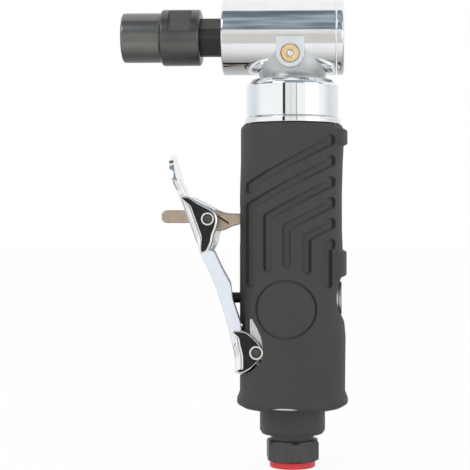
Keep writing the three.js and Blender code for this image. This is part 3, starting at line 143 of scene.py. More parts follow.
# An outline moved inwards: each corner goes along the mean of its two sides' normals, by the distance over
# the cosine of half the turn there
def insetOutline(outline, distance):
    ways = unit(np.roll(outline, -1, axis=0) - outline)
    normals = np.stack([-ways[:, 1], ways[:, 0]], axis=1)
    mean = unit(normals + np.roll(normals, 1, axis=0))
    reach = np.clip(1 / np.maximum((mean * normals).sum(1), 0.5), 1, 2)
    return outline + mean * (distance * reach)[:, None]


# A plate: an outline of (a, b), counterclockwise, carried from low to high, its high rim rounded by a
# quarter ellipse, edge wide and drop deep, its low rim by a quarter circle. A hole is (centre, radius).
def plateMesh(name, outline, low, high, edge, facing, drop=None, lowEdge=0.2, steps=5, hole=None):
    edge = np.broadcast_to(np.asarray(edge, float), len(outline))
    drop = edge if drop is None else np.minimum(edge, drop)
    bend = np.linspace(0, math.pi / 2, steps + 1)

    def ring(inset, level):
        return np.column_stack([insetOutline(outline, inset), np.full(len(outline), level)])

    rings = [ring(lowEdge * (1 - math.cos(t)), low + lowEdge * (1 - math.sin(t))) for t in bend[::-1]]
    rings += [ring(edge * (1 - math.cos(t)), high - drop * (1 - math.sin(t))) for t in bend]
    rings.append(ring(edge + 0.06, high))
    if hole is None:
        return gridMesh(name, placed(np.array(rings), facing), caps=True)
    circle = np.array(hole[0]) + unit(outline - np.array(hole[0])) * hole[1]
    holeLow, holeHigh = (np.column_stack([circle, np.full(len(outline), level)]) for level in (low, high))
    return gridMesh(name, placed(np.array([holeLow, *rings, holeHigh, holeLow]), facing))


# A plate's points (a, b, level) as X, Z and -Y, as X, Z and Y, or as Y, Z and X
def placed(points, facing):
    a, b, level = np.moveaxis(points, -1, 0)
    parts = {"front": (a, -level, b), "rear": (a, level, b), "back": (level, a, b)}[facing]
    return np.stack(parts, axis=-1)


# Makes a mesh a piece of the object: doubles merged, faces turned outwards, smooth between sharp edges
def addPiece(name, mesh, body, finish, slot, replaced="", sharp=35, closed=True):
    work = bmesh.new()
    work.from_mesh(mesh)
    bmesh.ops.remove_doubles(work, verts=work.verts, dist=2e-7)
    if closed and work.calc_volume(signed=True) < 0:
        bmesh.ops.reverse_faces(work, faces=work.faces)
    work.to_mesh(mesh)
    work.free()
    mesh.polygons.foreach_set("use_smooth", np.ones(len(mesh.polygons), bool))
    mesh.set_sharp_from_angle(angle=math.radians(sharp))
    mesh.materials.append(finishes[finish])
    piece = bpy.data.objects.new(name, mesh)
    scene.collection.objects.link(piece)
    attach(piece, body)
    if replaced:
        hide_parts(replaced)
    return piece


# A turned piece from the corners of its profile. One that starts off the axis is closed to a hollow piece.
def addTurned(name, corners, axis, centre, body, finish, slot, replaced="", sides=96, limit=None, start=0.0,
              sharp=35):
    if corners[0][0] > 0:
        corners = [*corners, corners[0]]
    mesh = gridMesh(name, turnedGrid(rounded(corners), axis, centre, sides, limit, start))
    return addPiece(name, mesh, body, finish, slot, replaced, sharp)


# The most that a radius may be: half the flats' width over the cosine of the angle from the nearest normal
def flatLimit(sizes):
    normals = [math.radians(angle) for angle in sizes["flatAngles"]]

    def limit(angle, height):
        across = np.max([np.cos(angle - normal) for normal in normals], axis=0)
        cut = sizes["flatWidth"] / 2 / np.maximum(across, 0.05)
        return np.where((height > sizes["flatStart"]) & (height < sizes["flatEnd"]), cut, 1e6)

    return limit


# A value of each of a piece's faces, such as its normal
def faceValues(piece, key, columns=3, kind=float):
    faces = piece.data.polygons
    values = np.zeros(columns * len(faces), kind)
    faces.foreach_get(key, values)
    return values.reshape(-1, columns)


# Gives the chosen faces of a piece a second finish
def addFinish(piece, finish, chosen):
    piece.data.materials.append(finishes[finish])
    piece.data.polygons.foreach_set("material_index", chosen.astype(np.int32))


# Finishes

# One node tree, built with a call for each node
class NodeTree:
    def __init__(self, owner):
        owner.use_nodes = True
        self.tree = owner.node_tree
        self.tree.nodes.clear()

    def add(self, kind, values=None, **settings):
        node = self.tree.nodes.new(kind)
        for key, value in settings.items():
            setattr(node, key, value)
        for key, value in (values or {}).items():
            if isinstance(value, bpy.types.NodeSocket):
                self.tree.links.new(value, node.inputs[key])
            else:
                node.inputs[key].default_value = value
        return node

    def ramp(self, factor, stops):
        node = self.add("ShaderNodeValToRGB", {0: factor})
        elements = node.color_ramp.elements
        while len(elements) < len(stops):
            elements.new(0.5)
        for element, (place, color) in zip(elements, stops):
            element.position = place
            element.color = (*color, 1)
        return node.outputs[0]

    def math(self, operation, a, b=0.0, c=0.0):
        return self.add("ShaderNodeMath", {0: a, 1: b, 2: c}, operation=operation).outputs[0]

    def mix(self, share, first, second):
        return self.add("ShaderNodeMix", {0: share, 6: first, 7: second}, data_type="RGBA").outputs[2]


# A finish whose colour, roughness and bump follow noise on the piece's own coordinates, with grain, patch
# and depth in millimetres, turning marks as (pitch, depth, direction), and painted shade: near black by the
# attribute shade
def makeFinish(name, color, metal, rough, depth, spread=0.08, grain=0.3, patch=6.0, specular=0.5,
               lines=None, paintedShade=False):
    finish = bpy.data.materials.new(name)
    nodes = NodeTree(finish)
    place = nodes.add("ShaderNodeTexCoord").outputs["Object"]
    scaled = nodes.add("ShaderNodeMapping", {"Vector": place, "Scale": (1000, 1000, 1000)}).outputs[0]
    broadNoise = {"Vector": scaled, "Scale": 1 / patch, "Detail": 5.0, "Roughness": 0.6}
    broad = nodes.add("ShaderNodeTexNoise", broadNoise).outputs[0]
    fine = nodes.add("ShaderNodeTexNoise", {"Vector": scaled, "Scale": 1 / grain, "Detail": 3.0}).outputs[0]
    darker = tuple(c * (1 - spread) for c in color)
    lighter = tuple(min(1, c * (1 + spread)) for c in color)
    tint = nodes.ramp(broad, [(0.3, darker), (0.7, lighter)])
    if paintedShade:
        # Painted shade: the attribute shade turns the colour near black on the grooves' walls
        shade = nodes.add("ShaderNodeAttribute", attribute_name="shade").outputs["Fac"]
        tint = nodes.mix(shade, tint, (0.008, 0.008, 0.007, 1))
    gloss = nodes.math("MULTIPLY_ADD", fine, rough * 0.3, rough * 0.85)
    height = fine
    if lines:
        pitch, lineDepth, direction = lines
        waveValues = {"Vector": scaled, "Scale": 0.314 / pitch, "Distortion": 0.5, "Detail": 2.0}
        wave = nodes.add("ShaderNodeTexWave", waveValues, bands_direction=direction).outputs["Fac"]
        height = nodes.math("MULTIPLY_ADD", wave, lineDepth / depth, fine)
        gloss = nodes.math("MULTIPLY_ADD", wave, rough * 0.15, gloss)
    bumpValues = {"Height": height, "Strength": 1.0, "Distance": depth * 0.001}
    bump = nodes.add("ShaderNodeBump", bumpValues).outputs[0]
    values = {"Base Color": tint, "Metallic": metal, "Roughness": gloss, "Normal": bump}
    values["Specular IOR Level"] = specular
    surface = nodes.add("ShaderNodeBsdfPrincipled", values)
    nodes.add("ShaderNodeOutputMaterial", {"Surface": surface.outputs[0]})
    return finish


# Colour, share of metal, roughness, depth of the grain and, where it isn't 0.08, spread of the colour
finishLooks = {
    "headChrome": ((0.86, 0.87, 0.88), 1.0, 0.07, 0.0006, 0.03),
    "ringChrome": ((0.88, 0.89, 0.9), 1.0, 0.05, 0.0005, 0.02),
    "leverChrome": ((0.92, 0.925, 0.93), 1.0, 0.15, 0.0008, 0.03),
    "railSatin": ((0.82, 0.87, 0.95), 0.25, 0.3, 0.002, 0.03),
    "castSatin": ((0.6, 0.61, 0.62), 1.0, 0.4, 0.02, 0.12),
    "padSatin": ((0.88, 0.91, 0.95), 0.75, 0.36, 0.012, 0.06),
    "turnedAluminium": ((0.8, 0.81, 0.82), 1.0, 0.3, 0.01),
    "knobAluminium": ((0.5, 0.51, 0.51), 1.0, 0.36, 0.012),
    "fittingBrass": ((0.98, 0.69, 0.36), 0.6, 0.3, 0.005),
    "nutSteel": ((0.13, 0.13, 0.126), 0.9, 0.27, 0.005, 0.12),
    # A lighter copy of the nut's steel for its front: a painted highlight
    "nutFrontPaintedHighlight": ((0.2, 0.197, 0.19), 0.9, 0.24, 0.005, 0.05),
    # Near black flats of the chrome cheeks and ears: a painted dark reflection
    "paintedDarkReflection": ((0.02, 0.021, 0.023), 0.6, 0.25, 0.03, 0.4),
    "spindleSteel": ((0.062, 0.061, 0.058), 0.8, 0.38, 0.008),
    "stemSteel": ((0.04, 0.04, 0.04), 0.7, 0.4, 0.006),
    "innerSteel": ((0.5, 0.51, 0.52), 1.0, 0.28, 0.005),
    "latchSteel": ((0.6, 0.48, 0.38), 1.0, 0.36, 0.012, 0.12),
    "pinSteel": ((0.12, 0.12, 0.11), 0.9, 0.42, 0.03, 0.2),
    "gripRubber": ((0.052, 0.051, 0.047), 0.0, 0.62, 0.02, 0.08),
    "sealRubber": ((0.02, 0.02, 0.02), 0.0, 0.6, 0.01),
    "collarCoat": ((0.045, 0.044, 0.041), 0.0, 0.5, 0.012, 0.1),
    "hexCoat": ((0.075, 0.075, 0.073), 0.5, 0.42, 0.01, 0.12),
    "plugPlastic": ((0.75, 0.045, 0.055), 0.0, 0.35, 0.005, 0.05),
    "vaneResin": ((0.15, 0.07, 0.03), 0.0, 0.6, 0.02, 0.2),
    "silencerFelt": ((0.26, 0.25, 0.22), 0.0, 0.95, 0.1, 0.2),
}
finishDetails = {
    "nutSteel": {"lines": (0.25, 0.003, "X")},
    "nutFrontPaintedHighlight": {"lines": (0.25, 0.003, "X")},
    "paintedDarkReflection": {"grain": 0.5, "patch": 1.6},
    "latchSteel": {"patch": 3.0},
    "pinSteel": {"grain": 0.5},
    "gripRubber": {"grain": 0.16, "patch": 18.0, "specular": 0.35, "paintedShade": True},
}
finishes = {}
for name, looks in finishLooks.items():
    finishes[name] = makeFinish(name, *looks, **finishDetails.get(name, {}))
print("finishes ready:", len(finishes))

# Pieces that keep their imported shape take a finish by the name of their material
innerFinishes = {
    "chrome": "ringChrome", "cast_metal": "castSatin", "aluminium": "turnedAluminium",
    "gunmetal": "nutSteel", "dark_steel": "stemSteel", "bright_steel": "innerSteel",
    "tan_steel": "latchSteel", "brass": "fittingBrass", "grip_rubber": "gripRubber",
    "seal_rubber": "sealRubber", "black_coat": "collarCoat", "red_plastic": "plugPlastic",
    "vane_resin": "vaneResin", "silencer_felt": "silencerFelt",
}
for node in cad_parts.values():
    for holder in node.material_slots:
        holder.material = finishes[innerFinishes[holder.material.name.split(".")[0]]]
print("packed pieces finished:", len(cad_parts))


# Head

head = {
    "radius": 13.4, "wall": 1.2, "front": -24.6, "back": 15.5, "nose": 7.2, "frontWall": 2.6,
    "capFront": 15.8, "capBack": 18.4,
}
headCentre = (0, 0, headHeight)


# The barrel, a tube with a front wall round the nose, and the cap that closes its back
def makeBarrel():
    nose, outer = head["nose"], head["radius"]
    inner = outer - head["wall"]
    front, back = head["front"], head["back"]
    behind = front + head["frontWall"]
    look = ("handle", "headChrome", "chrome")
    addTurned("head_barrel", [
        (nose, front), (outer, front, 0.8), (outer, back, 0.3), (inner, back, 0.15), (inner, behind),
        (nose, behind),
    ], "X", headCentre, *look, "head_housing", fineSides)
    front, back = head["capFront"], head["capBack"]
    profile = [(0, front), (outer, front, 0.25), (outer, back, 1.3), (0, back)]
    addTurned("head_end_cap", profile, "X", headCentre, *look, "head_cap", fineSides)


# The cast neck: a turned wall that widens upwards. Every height is held under the middle of the barrel's
# wall, z = centre - sqrt(r^2 - y^2), so that it grows out of the barrel.
def makeNeck():
    profile = rounded([
        (9.7, 129.3), (14.55, 129.3, 0.2), (14.55, 131.3, 0.2), (11.2, 131.3, 0.3), (11.2, 137.6, 1.5),
        (12.3, 139.4, 2), (12.95, 142.4, 2), (13.0, 147), (12.4, 150.5), (9.7, 150.5), (9.7, 129.3),
    ])
    grid = turnedGrid(evenly(profile, 0.35), "Z", origin, 144)
    middle = head["radius"] - head["wall"] / 2
    roof = headHeight - np.sqrt(np.maximum(middle**2 - grid[..., 1] ** 2, 0))
    grid[..., 2] = np.minimum(grid[..., 2], roof)
    mesh = gridMesh("head_neck", grid)
    addPiece("head_neck", mesh, "handle", "castSatin", "cast_metal", "head_housing")


pad = {
    "x": -0.35, "z": 145.2, "radius": 4.95, "front": 13.48, "back": 11.4, "top": 151.3, "edge": 0.35,
    "hole": 3.4,
}


# The pad's outline, counterclockwise: half a circle below, x + r cos a and z + r sin a, then straight sides
def padOutline():
    x, z, radius, top = (pad[key] for key in ("x", "z", "radius", "top"))
    sweep = np.linspace(-math.pi, 0, 60)
    curve = np.column_stack([x + radius * np.cos(sweep), z + radius * np.sin(sweep)])
    right = np.linspace((x + radius, z), (x + radius, top), 12)[1:]
    across = np.linspace((x + radius, top), (x - radius, top), 26)[1:-1]
    left = np.linspace((x - radius, top), (x - radius, z), 12)[:-1]
    return np.concatenate([curve, right, across, left])


# The pad round the fitting. Its front is bright, its sides are cast, and their darker finish also paints
# the shade along the pad's edges.
def makePad():
    hole = ((pad["x"], pad["z"]), pad["hole"])
    mesh = plateMesh("fitting_pad", padOutline(), pad["back"], pad["front"], pad["edge"],
                     "front", hole=hole)
    piece = addPiece("fitting_pad", mesh, "handle", "padSatin", "cast_metal", "head_housing")
    # The cast finish on the sides is partly painted shade for the pad's dark edges
    addFinish(piece, "castSatin", faceValues(piece, "normal")[:, 1] > -0.8)


def makeFitting():
    centre = (pad["x"], 0, pad["z"])
    addTurned("grease_fitting_body", [
        (0, -12.2), (1.25, -12.2), (1.4, -13.1, 0.1), (1.75, -13.4, 0.2), (3.1, -13.4, 0.35), (3.1, -8.8),
        (0, -8.8),
    ], "Y", centre, "handle", "fittingBrass", "brass", "grease_fitting")
    ball = [(1.2 * math.sin(t), -12.45 - 0.85 * math.cos(t)) for t in np.linspace(0, math.pi, 15)]
    mesh = gridMesh("grease_fitting_ball", turnedGrid(ball, "Y", centre, 40))
    addPiece("grease_fitting_ball", mesh, "handle", "padSatin", "bright_steel")


def makeClampRing():
    addTurned("clamp_ring", [
        (15.0, 123.6), (16.35, 123.6, 0.35), (16.35, 135.2, 0.7), (14.6, 136.95, 0.7), (12.8, 137.5, 0.3),
        (11.5, 137.5, 0.15), (11.5, 135.6), (15.0, 133.6),
    ], "Z", origin, "handle", "ringChrome", "chrome", "clamp_nut", fineSides)


makeBarrel()
makeNeck()
makePad()
makeFitting()
makeClampRing()
print("head ready")


# Tool holder

# Flats: their width, the angles of their normals in degrees, and where they start and end
nut = {"flatWidth": 17.0, "flatAngles": (143, 323), "flatStart": -43.5, "flatEnd": -35.4, "bright": -47.0}
spindle = {"flatWidth": 11.7, "flatAngles": (130, 220, 310, 400), "flatStart": -33.05, "flatEnd": -24.2}


# The collet nut, brighter on its round front than behind it by a lighter colour, a painted highlight
def makeColletNut():
    piece = addTurned("collet_nut_body", [
        (4.2, -53.2), (4.2, -60.4, 0.5), (8.8, -60.4, 1.0), (8.8, -46.9, 0.1), (9.1, -46.5, 0.3),
        (9.95, -46.0, 0.6), (9.95, -43.51), (9.95, -43.49), (9.95, -35.41), (9.95, -35.39),
        (9.95, -32.4, 1.2), (6.3, -32.4, 0.3), (6.3, -53.2),
    ], "X", headCentre, "nut_body", "nutSteel", "gunmetal", "collet_nut", flatSides, flatLimit(nut))
    # Faces ahead of bright take the lighter copy, the painted highlight
    addFinish(piece, "nutFrontPaintedHighlight", faceValues(piece, "center")[:, 0] < nut["bright"] * 0.001)


def makeSpindle():
    addTurned("spindle_shaft", [
        (3.6, -46.7), (6.0, -46.7, 0.5), (6.0, -33.1), (6.8, -33.1, 0.35), (6.8, -24.21), (6.8, -24.19),
        (6.8, -22.6), (5.0, -22.6), (5.0, 14.9), (3.6, 14.9),
    ], "X", headCentre, "spindle_body", "spindleSteel", "dark_steel", "spindle", flatSides,
        flatLimit(spindle))


makeColletNut()
makeSpindle()
print("tool holder ready")


# Handle

handle = {
    "radius": 15.5, "wall": 1.8, "foot": 21.8, "top": 121.3, "steps": 200, "pocketWider": 1.6,
    "pocketRoom": 9.7, "stemHole": 4.0, "knobHole": 8.2,
}
gripFoot, gripTop = 21.3, 121.0
gripLength = gripTop - gripFoot

# The pocket's outline in shares of the lever's length: forward of the pivot, above the pivot
pocketShares = [
    (0.3, 0.17), (0.018, 0.17), (-0.007, 0.124), (-0.024, 0.09), (-0.034, 0.055), (-0.0385, 0.005),
    (-0.034, -0.026), (-0.018, -0.047), (0.022, -0.087), (0.07, -0.112), (0.3, -0.115),
]


# Shares of the lever's length as places (x, z)
def leverPoints(shares):
    forward, up = np.array(shares, float).T
    return np.column_stack([leverPivot[0] - forward * leverLength, leverPivot[1] + up * leverLength])


pocketOutline = counterclockwise(leverPoints(pocketShares))

# How near to the pocket's rim a point is moved onto it; from 0.22 upwards some of the rim's faces fold over
rimSnap = 0.2


# Whether points lie inside an outline: an odd number of its sides cross the line to the right of each
def insideOutline(outline, x, z):
    inside = np.zeros(np.shape(x), bool)
    for (ax, az), (bx, bz) in zip(outline, np.roll(outline, -1, axis=0)):
        spans = (az > z) != (bz > z)
        cross = ax + (z - az) * (bx - ax) / (bz - az if bz != az else 1e-9)
        inside ^= spans & (x < cross)
    return inside


# The distance of points from a line through corners, and the nearest point on it
def lineDistance(line, x, z):
    best, nearX, nearZ = np.full(np.shape(x), 1e9), np.array(x, float), np.array(z, float)
    for (ax, az), (bx, bz) in zip(line[:-1], line[1:]):
        dx, dz = bx - ax, bz - az
        t = np.clip(((x - ax) * dx + (z - az) * dz) / (dx * dx + dz * dz), 0, 1)
        px, pz = ax + t * dx, az + t * dz
        away = np.hypot(x - px, z - pz)
        closer = away < best
        best = np.where(closer, away, best)
        nearX = np.where(closer, px, nearX)
        nearZ = np.where(closer, pz, nearZ)
    return best, nearX, nearZ


# A tube wall of radius r(angle, z) as a grid, its openings cut by faces left out: the stem's hole in front,
# the knob's behind, and the lever's pocket at the sides. Points near an opening's rim are moved onto it
# first, so that the rim runs smoothly. Solidify gives the rims their depth.
def openings(grid, radius, pocket, sizes):
    x, y, z = np.moveaxis(grid, -1, 0)
    for side, holeRadius in ((-1, sizes["stemHole"]), (1, sizes["knobHole"])):
        away = np.hypot(y, z - valveHeight)
        near = (x * side > 0) & (np.abs(away - holeRadius) < 0.3)
        scale = np.where(near, holeRadius / np.maximum(away, 1e-6), 1)
        y = y * scale
        z = valveHeight + (z - valveHeight) * scale
        x = np.where(near, side * np.sqrt(np.maximum(radius**2 - y**2, 0)), x)
    room = sizes["pocketRoom"]
    away, nearX, nearZ = lineDistance(np.concatenate([pocket, pocket[:1]]), x, z)
    near = (away < rimSnap) & (x < 0) & (np.abs(y) > room - 0.5)
    x, z = np.where(near, nearX, x), np.where(near, nearZ, z)
    y = np.where(near, np.sign(y) * np.sqrt(np.maximum(radius**2 - x**2, 0)), y)
    moved = np.stack([x, y, z], axis=-1)
    wrapped = np.concatenate([moved, moved[:, :1]], axis=1)
    middle = (wrapped[:-1, :-1] + wrapped[1:, :-1] + wrapped[:-1, 1:] + wrapped[1:, 1:]) / 4
    mx, my, mz = np.moveaxis(middle, -1, 0)
    away = np.hypot(my, mz - valveHeight)
    cut = (mx < 0) & (away < sizes["stemHole"]) | (mx > 0) & (away < sizes["knobHole"])
    cut |= (mx < 0) & (np.abs(my) > room) & insideOutline(pocket, mx, mz)
    return moved, ~cut


# A thin piece from a grid, given its thickness inwards. Above 2 mm only its rims are made.
def addShell(name, grid, keep, thickness, body, finish, slot, replaced, shade=None, wrap=True):
    mesh = gridMesh(name, grid, wrap, keep)
    # The shade values, painted shade, are kept as the point attribute shade
    if shade is not None:
        mesh.attributes.new("shade", "FLOAT", "POINT").data.foreach_set("value", shade.ravel())
    piece = addPiece(name, mesh, body, finish, slot, replaced, closed=False)
    solidify = piece.modifiers.new("wall", "SOLIDIFY")
    solidify.thickness = thickness * 0.001
    solidify.offset = -1
    solidify.use_rim_only = thickness > 2
    return piece


housingLook = ("handle", "turnedAluminium", "aluminium", "motor_housing")


def makeHousing():
    radius, steps = handle["radius"], handle["steps"]
    heights = np.linspace(handle["foot"], handle["top"], steps)
    grid = turnedGrid(np.column_stack([np.full(steps, radius), heights]), "Z", origin, steps)
    pocket = insetOutline(pocketOutline, -handle["pocketWider"])
    moved, keep = openings(grid, radius, pocket, handle)
    addShell("motor_case", moved, keep, handle["wall"], *housingLook)


def makeFlange():
    addTurned("housing_flange", [
        (14.0, 121.3), (17.1, 121.3, 0.3), (17.1, 123.3, 0.35), (14.7, 123.3), (14.7, 129.0, 0.3),
        (13.0, 129.0), (13.0, 121.3),
    ], "Z", origin, "handle", "ringChrome", "chrome", "motor_housing", fineSides)


def makeBoss():
    addTurned("valve_boss", [
        (5.0, 11.0), (8.2, 11.0), (8.2, 16.0, 0.3), (6.9, 16.0, 0.25), (6.9, 12.0), (5.0, 12.0),
    ], "X", valveCentre, *housingLook, 128)


lug = {"front": -14.6, "back": -8.0, "foot": 38.5, "top": 55.0, "half": 9.8, "corner": 0.6, "edge": 0.5}


def makeLug():
    front, back, foot, top, half, corner, edge = lug.values()
    corners = [(front, foot, corner), (back, foot, corner), (back, top, corner), (front, top, corner)]
    mesh = plateMesh("lever_lug", roundedLoop(corners), -half, half, edge, "rear")
    addPiece("lever_lug", mesh, *housingLook)


makeHousing()
makeFlange()
makeBoss()
makeLug()

# Rows of the grip: share of its height, then the radius at the front, at the back, and the band's rise
gripRows = [
    (0, 17.5, 17.5, 0), (0.013, 19.7, 19.7, 0), (0.032, 19.7, 19.7, 0), (0.057, 18.7, 18.7, 0),
    (0.25, 18.7, 18.9, 0), (0.36, 18.7, 17.9, 0), (0.462, 18.7, 17.9, 0), (0.468, 18.7, 17.9, 1),
    (0.552, 18.7, 17.9, 1), (0.558, 18.7, 17.9, 0), (0.63, 18.7, 17.6, 0), (0.76, 18.7, 17.6, 0),
    (0.87, 18.35, 17.9, 0), (0.928, 18.35, 18.2, 0), (0.934, 18.35, 18.2, 1), (0.982, 18.35, 18.2, 1),
    (0.988, 18.35, 18.2, 0), (1, 17.5, 17.5, 0),
]
grip = {
    "wall": 2.9, "columns": 368, "footRim": 6.5, "topRim": 1.6, "bandRise": 1.35,
    "bandCosines": (0.8, 0.93), "patternTurn": math.radians(4), "channelWidth": 2.5, "channelDepth": 0.7,
    "channelPitch": 7.25, "channelTop": 6.55, "channelEnd": 14.35, "channelHook": 1.3,
    "channelSlope": 0.54, "legStart": -13.7,
    "legPitch": 6.78, "medallionRadius": 10.3, "medallionStretch": 1.06, "medallionX": -0.6,
    "medallionHeight": 56.6, "grooveWidth": 0.8, "grooveDepth": 0.5, "notchX": -2.0, "notchHalf": 5.8,
    "notchHeight": 1.7, "pocketRoom": 9.8, "stemHole": 2.7, "knobHole": 8.6,
}

# The channels from the top one down: the share of the grip's height where its leg ends, and which place
# from the front its leg has
legFeet = [0.765, 0.443, 0.497, 0.511, 0.4895, 0.438]
legSteps = [0, 0, 1, 2, 3, 4]

# Flats that leave room for the lever and the latch: low, high, half width, and the foremost x
gripFlats = [(32.6, 51.0, 12.1, -17.3), (79.4, 91.8, 3.0, -16.3)]


# The channels' middle lines: a hook at the back, a slope down towards the front, and an upright leg
def channelLines():
    lines = []
    endX = grip["channelEnd"]
    for i, (footShare, step) in enumerate(zip(legFeet, legSteps)):
        end = gripTop - grip["channelTop"] - grip["channelPitch"] * i
        leg = grip["legStart"] + grip["legPitch"] * step
        turnHeight = end - grip["channelSlope"] * (endX - leg)
        foot = gripFoot + footShare * gripLength
        lines.append([(endX, end + grip["channelHook"]), (endX, end), (leg, turnHeight), (leg, foot)])
    return lines


# The grip's plain skin as angles, heights and radii: radius = front + (back - front)(1 + cos a) / 2, plus
# the band's rise towards the back. Columns stand closer at the front and back, a = s + 0.22 sin 2s.
def gripSkin():
    shares, front, back, band = np.array(gripRows).T
    low, high = gripFoot + grip["footRim"], gripTop - grip["topRim"]
    heights = np.concatenate([
        np.linspace(gripFoot, low, 30)[:-1], np.linspace(low, high, 226)[:-1],
        np.linspace(high, gripTop, 8),
    ])
    share = (heights - gripFoot) / gripLength
    frontRadius, backRadius, bandRise = (np.interp(share, shares, values) for values in (front, back, band))
    kernel = np.array([1, 2, 3, 2, 1]) / 9
    for values in (frontRadius, backRadius):
        values[2:-2] = np.convolve(values, kernel, "valid")
    spacing = np.linspace(0, turn, grip["columns"] + 1)[:-1]
    angle = (spacing + 0.22 * np.sin(2 * spacing))[None, :]
    cosine = np.cos(angle)
    rise = bandRise[:, None] * grip["bandRise"] * smoothStep(*grip["bandCosines"], cosine)
    radius = frontRadius[:, None] + (backRadius - frontRadius)[:, None] * (1 + cosine) / 2 + rise
    return angle, np.repeat(heights[:, None], grip["columns"], axis=1), radius


# The depth of the channels and of the medallion's groove, which falls off smoothly with the distance from
# their middle lines, and a painted shade for their walls, strongest on the side away from the middle of the
# grip and on the groove's left and right, as if lit from both sides
def gripPattern(x, z):
    depth, shade = np.zeros_like(x), np.zeros_like(x)
    half = grip["channelWidth"] / 2
    for line in channelLines():
        away, nearX, nearZ = lineDistance(line, x, z)
        inside = 1 - smoothStep(half - 0.2, half + 0.2, away)
        depth = np.maximum(depth, grip["channelDepth"] * inside)
        outwards = (x - nearX) * np.clip(x / 9, -1, 1) + (z - nearZ) * 0.15
        wall = 1 - smoothStep(0.15, 0.55, np.abs(away - half))
        shade = np.maximum(shade, wall * np.clip(outwards / np.maximum(away, 0.01), 0, 1))
    groove = grip["medallionRadius"] - grip["grooveWidth"] / 2
    medallionX = (x - grip["medallionX"]) / grip["medallionStretch"]
    fromMiddle = np.hypot(medallionX, z - grip["medallionHeight"])
    away = np.abs(fromMiddle - groove)
    depth = np.maximum(depth, grip["grooveDepth"] * (1 - smoothStep(0.1, 0.5, away)))
    # Painted shade in the groove, darkest at its left and right
    sideways = np.abs(medallionX) / np.maximum(fromMiddle, 0.01)
    shade = np.maximum(shade, 0.9 * sideways**2 * (1 - smoothStep(0.15, 0.5, away)))
    return depth, shade


# The grip's foot is cut away over a short stretch at the front, where z is at least
# foot + h sqrt(1 - (x - c)^2 / w^2)
def overNotch(x, y, z):
    away = (x - grip["notchX"]) / grip["notchHalf"]
    notch = gripFoot + grip["notchHeight"] * np.sqrt(np.maximum(1 - away**2, 0))
    return np.where((np.abs(away) < 1) & (y < 0), np.maximum(z, notch), z)


# The grip: its plain skin less the pattern's depth, x = r cos a and y = r sin a, with flats and notch
def makeGrip():
    angle, z, radius = gripSkin()
    # shade: painted shade for the channels' walls and the medallion's groove
    depth, shade = gripPattern(radius * np.cos(angle + grip["patternTurn"]), z)
    radius = radius - depth
    x, y = radius * np.cos(angle), radius * np.sin(angle)
    for low, high, half, foremost in gripFlats:
        under = (z > low) & (z < high) & (np.abs(y) < half)
        x = np.where(under, np.maximum(x, foremost), x)
    grid = np.stack([x, y, overNotch(x, y, z)], axis=-1)
    moved, keep = openings(grid, radius, pocketOutline, grip)
    addShell("grip", moved, keep, grip["wall"], "handle", "gripRubber", "grip_rubber", "grip_sleeve", shade)


# The ring between the grip's skin and the body at either end
def makeGripRim(name, level, inward):
    inner, outer = 15.8, 17.45
    start, end = level + 0.02 * inward, level + 1.6 * inward
    profile = rounded([(inner, start), (outer, start), (outer, end), (inner, end), (inner, start)])
    grid = turnedGrid(profile, "Z", origin, grip["columns"])
    if inward > 0:
        grid[..., 2] = overNotch(*np.moveaxis(grid, -1, 0))
    addPiece(name, gridMesh(name, grid), "handle", "gripRubber", "grip_rubber", "grip_sleeve")


makeGrip()
makeGripRim("grip_foot_rim", gripFoot, 1)
makeGripRim("grip_top_rim", gripTop, -1)
print("handle ready")


# Throttle lever

# Outlines in shares of the lever's length: forward of the pivot, above the pivot. The first is the web's
# outer line, and the side plates follow parts of it.
lineShares = [
    (0.108, -0.103), (0.108, -0.02), (0.124, 0.04), (0.152, 0.156), (0.188, 0.272), (0.212, 0.345),
    (0.243, 0.417), (0.274, 0.477), (0.316, 0.59), (0.342, 0.661), (0.38, 0.766), (0.427, 0.866),
    (0.447, 0.95), (0.452, 1),
]
cheekShares = [
    (0.128, 0.113), (0.089, 0.113), (0.05, 0.108), (0.016, 0.081), (-0.024, 0.038), (-0.035, 0.005),
    (-0.03, -0.022), (-0.015, -0.042), (0.025, -0.082), (0.073, -0.107), *lineShares[:3],
]
earShares = [
    (0.387, 0.785), (0.345, 0.787), (0.316, 0.773), (0.226, 0.727), (0.198, 0.702), (0.189, 0.664),
    (0.198, 0.625), (0.214, 0.586), (0.219, 0.548), (0.241, 0.508), (0.28, 0.492), *lineShares[8:11],
]

# The rail's side along the web, and its inner side
railWebShares = [(0.108, 0.02), *lineShares[2:8], (0.29, 0.52)]
railInnerShares = [
    (0.212, 0.512), (0.199, 0.479), (0.167, 0.412), (0.127, 0.342), (0.119, 0.27), (0.1, 0.21),
    (0.079, 0.15), (0.075, 0.1),
]
lever = {
    "halfWidth": 11.8, "inner": 10.1, "sheet": 1.7, "bevel": 0.35, "tipHalf": 11.0, "tipLength": 11.0,
    "slotHalf": 2.85, "slotStart": 0.625, "slotEnd": 0.87, "leastEdge": 0.5, "edgeDrop": 1.5,
    "farNarrower": 0.025,
}


# Half the web's width at each row: narrower beside the side plates, half an ellipse at the tip
def webWidths(heights, rise, tipStart):
    half, tipHalf = lever["halfWidth"], lever["tipHalf"]
    beside = smoothStep(-0.2, -0.12, rise) * (1 - smoothStep(0.79, 0.83, rise))
    width = half - (half - lever["inner"] - 0.1) * beside
    tip = np.clip((heights - tipStart) / lever["tipLength"], 0, 0.998)
    nearTip = smoothStep(tipStart - 5, tipStart, heights)
    beforeTip = width * (1 - nearTip) + tipHalf * nearTip
    return np.where(tip > 0, tipHalf * np.sqrt(1 - tip**2), beforeTip)


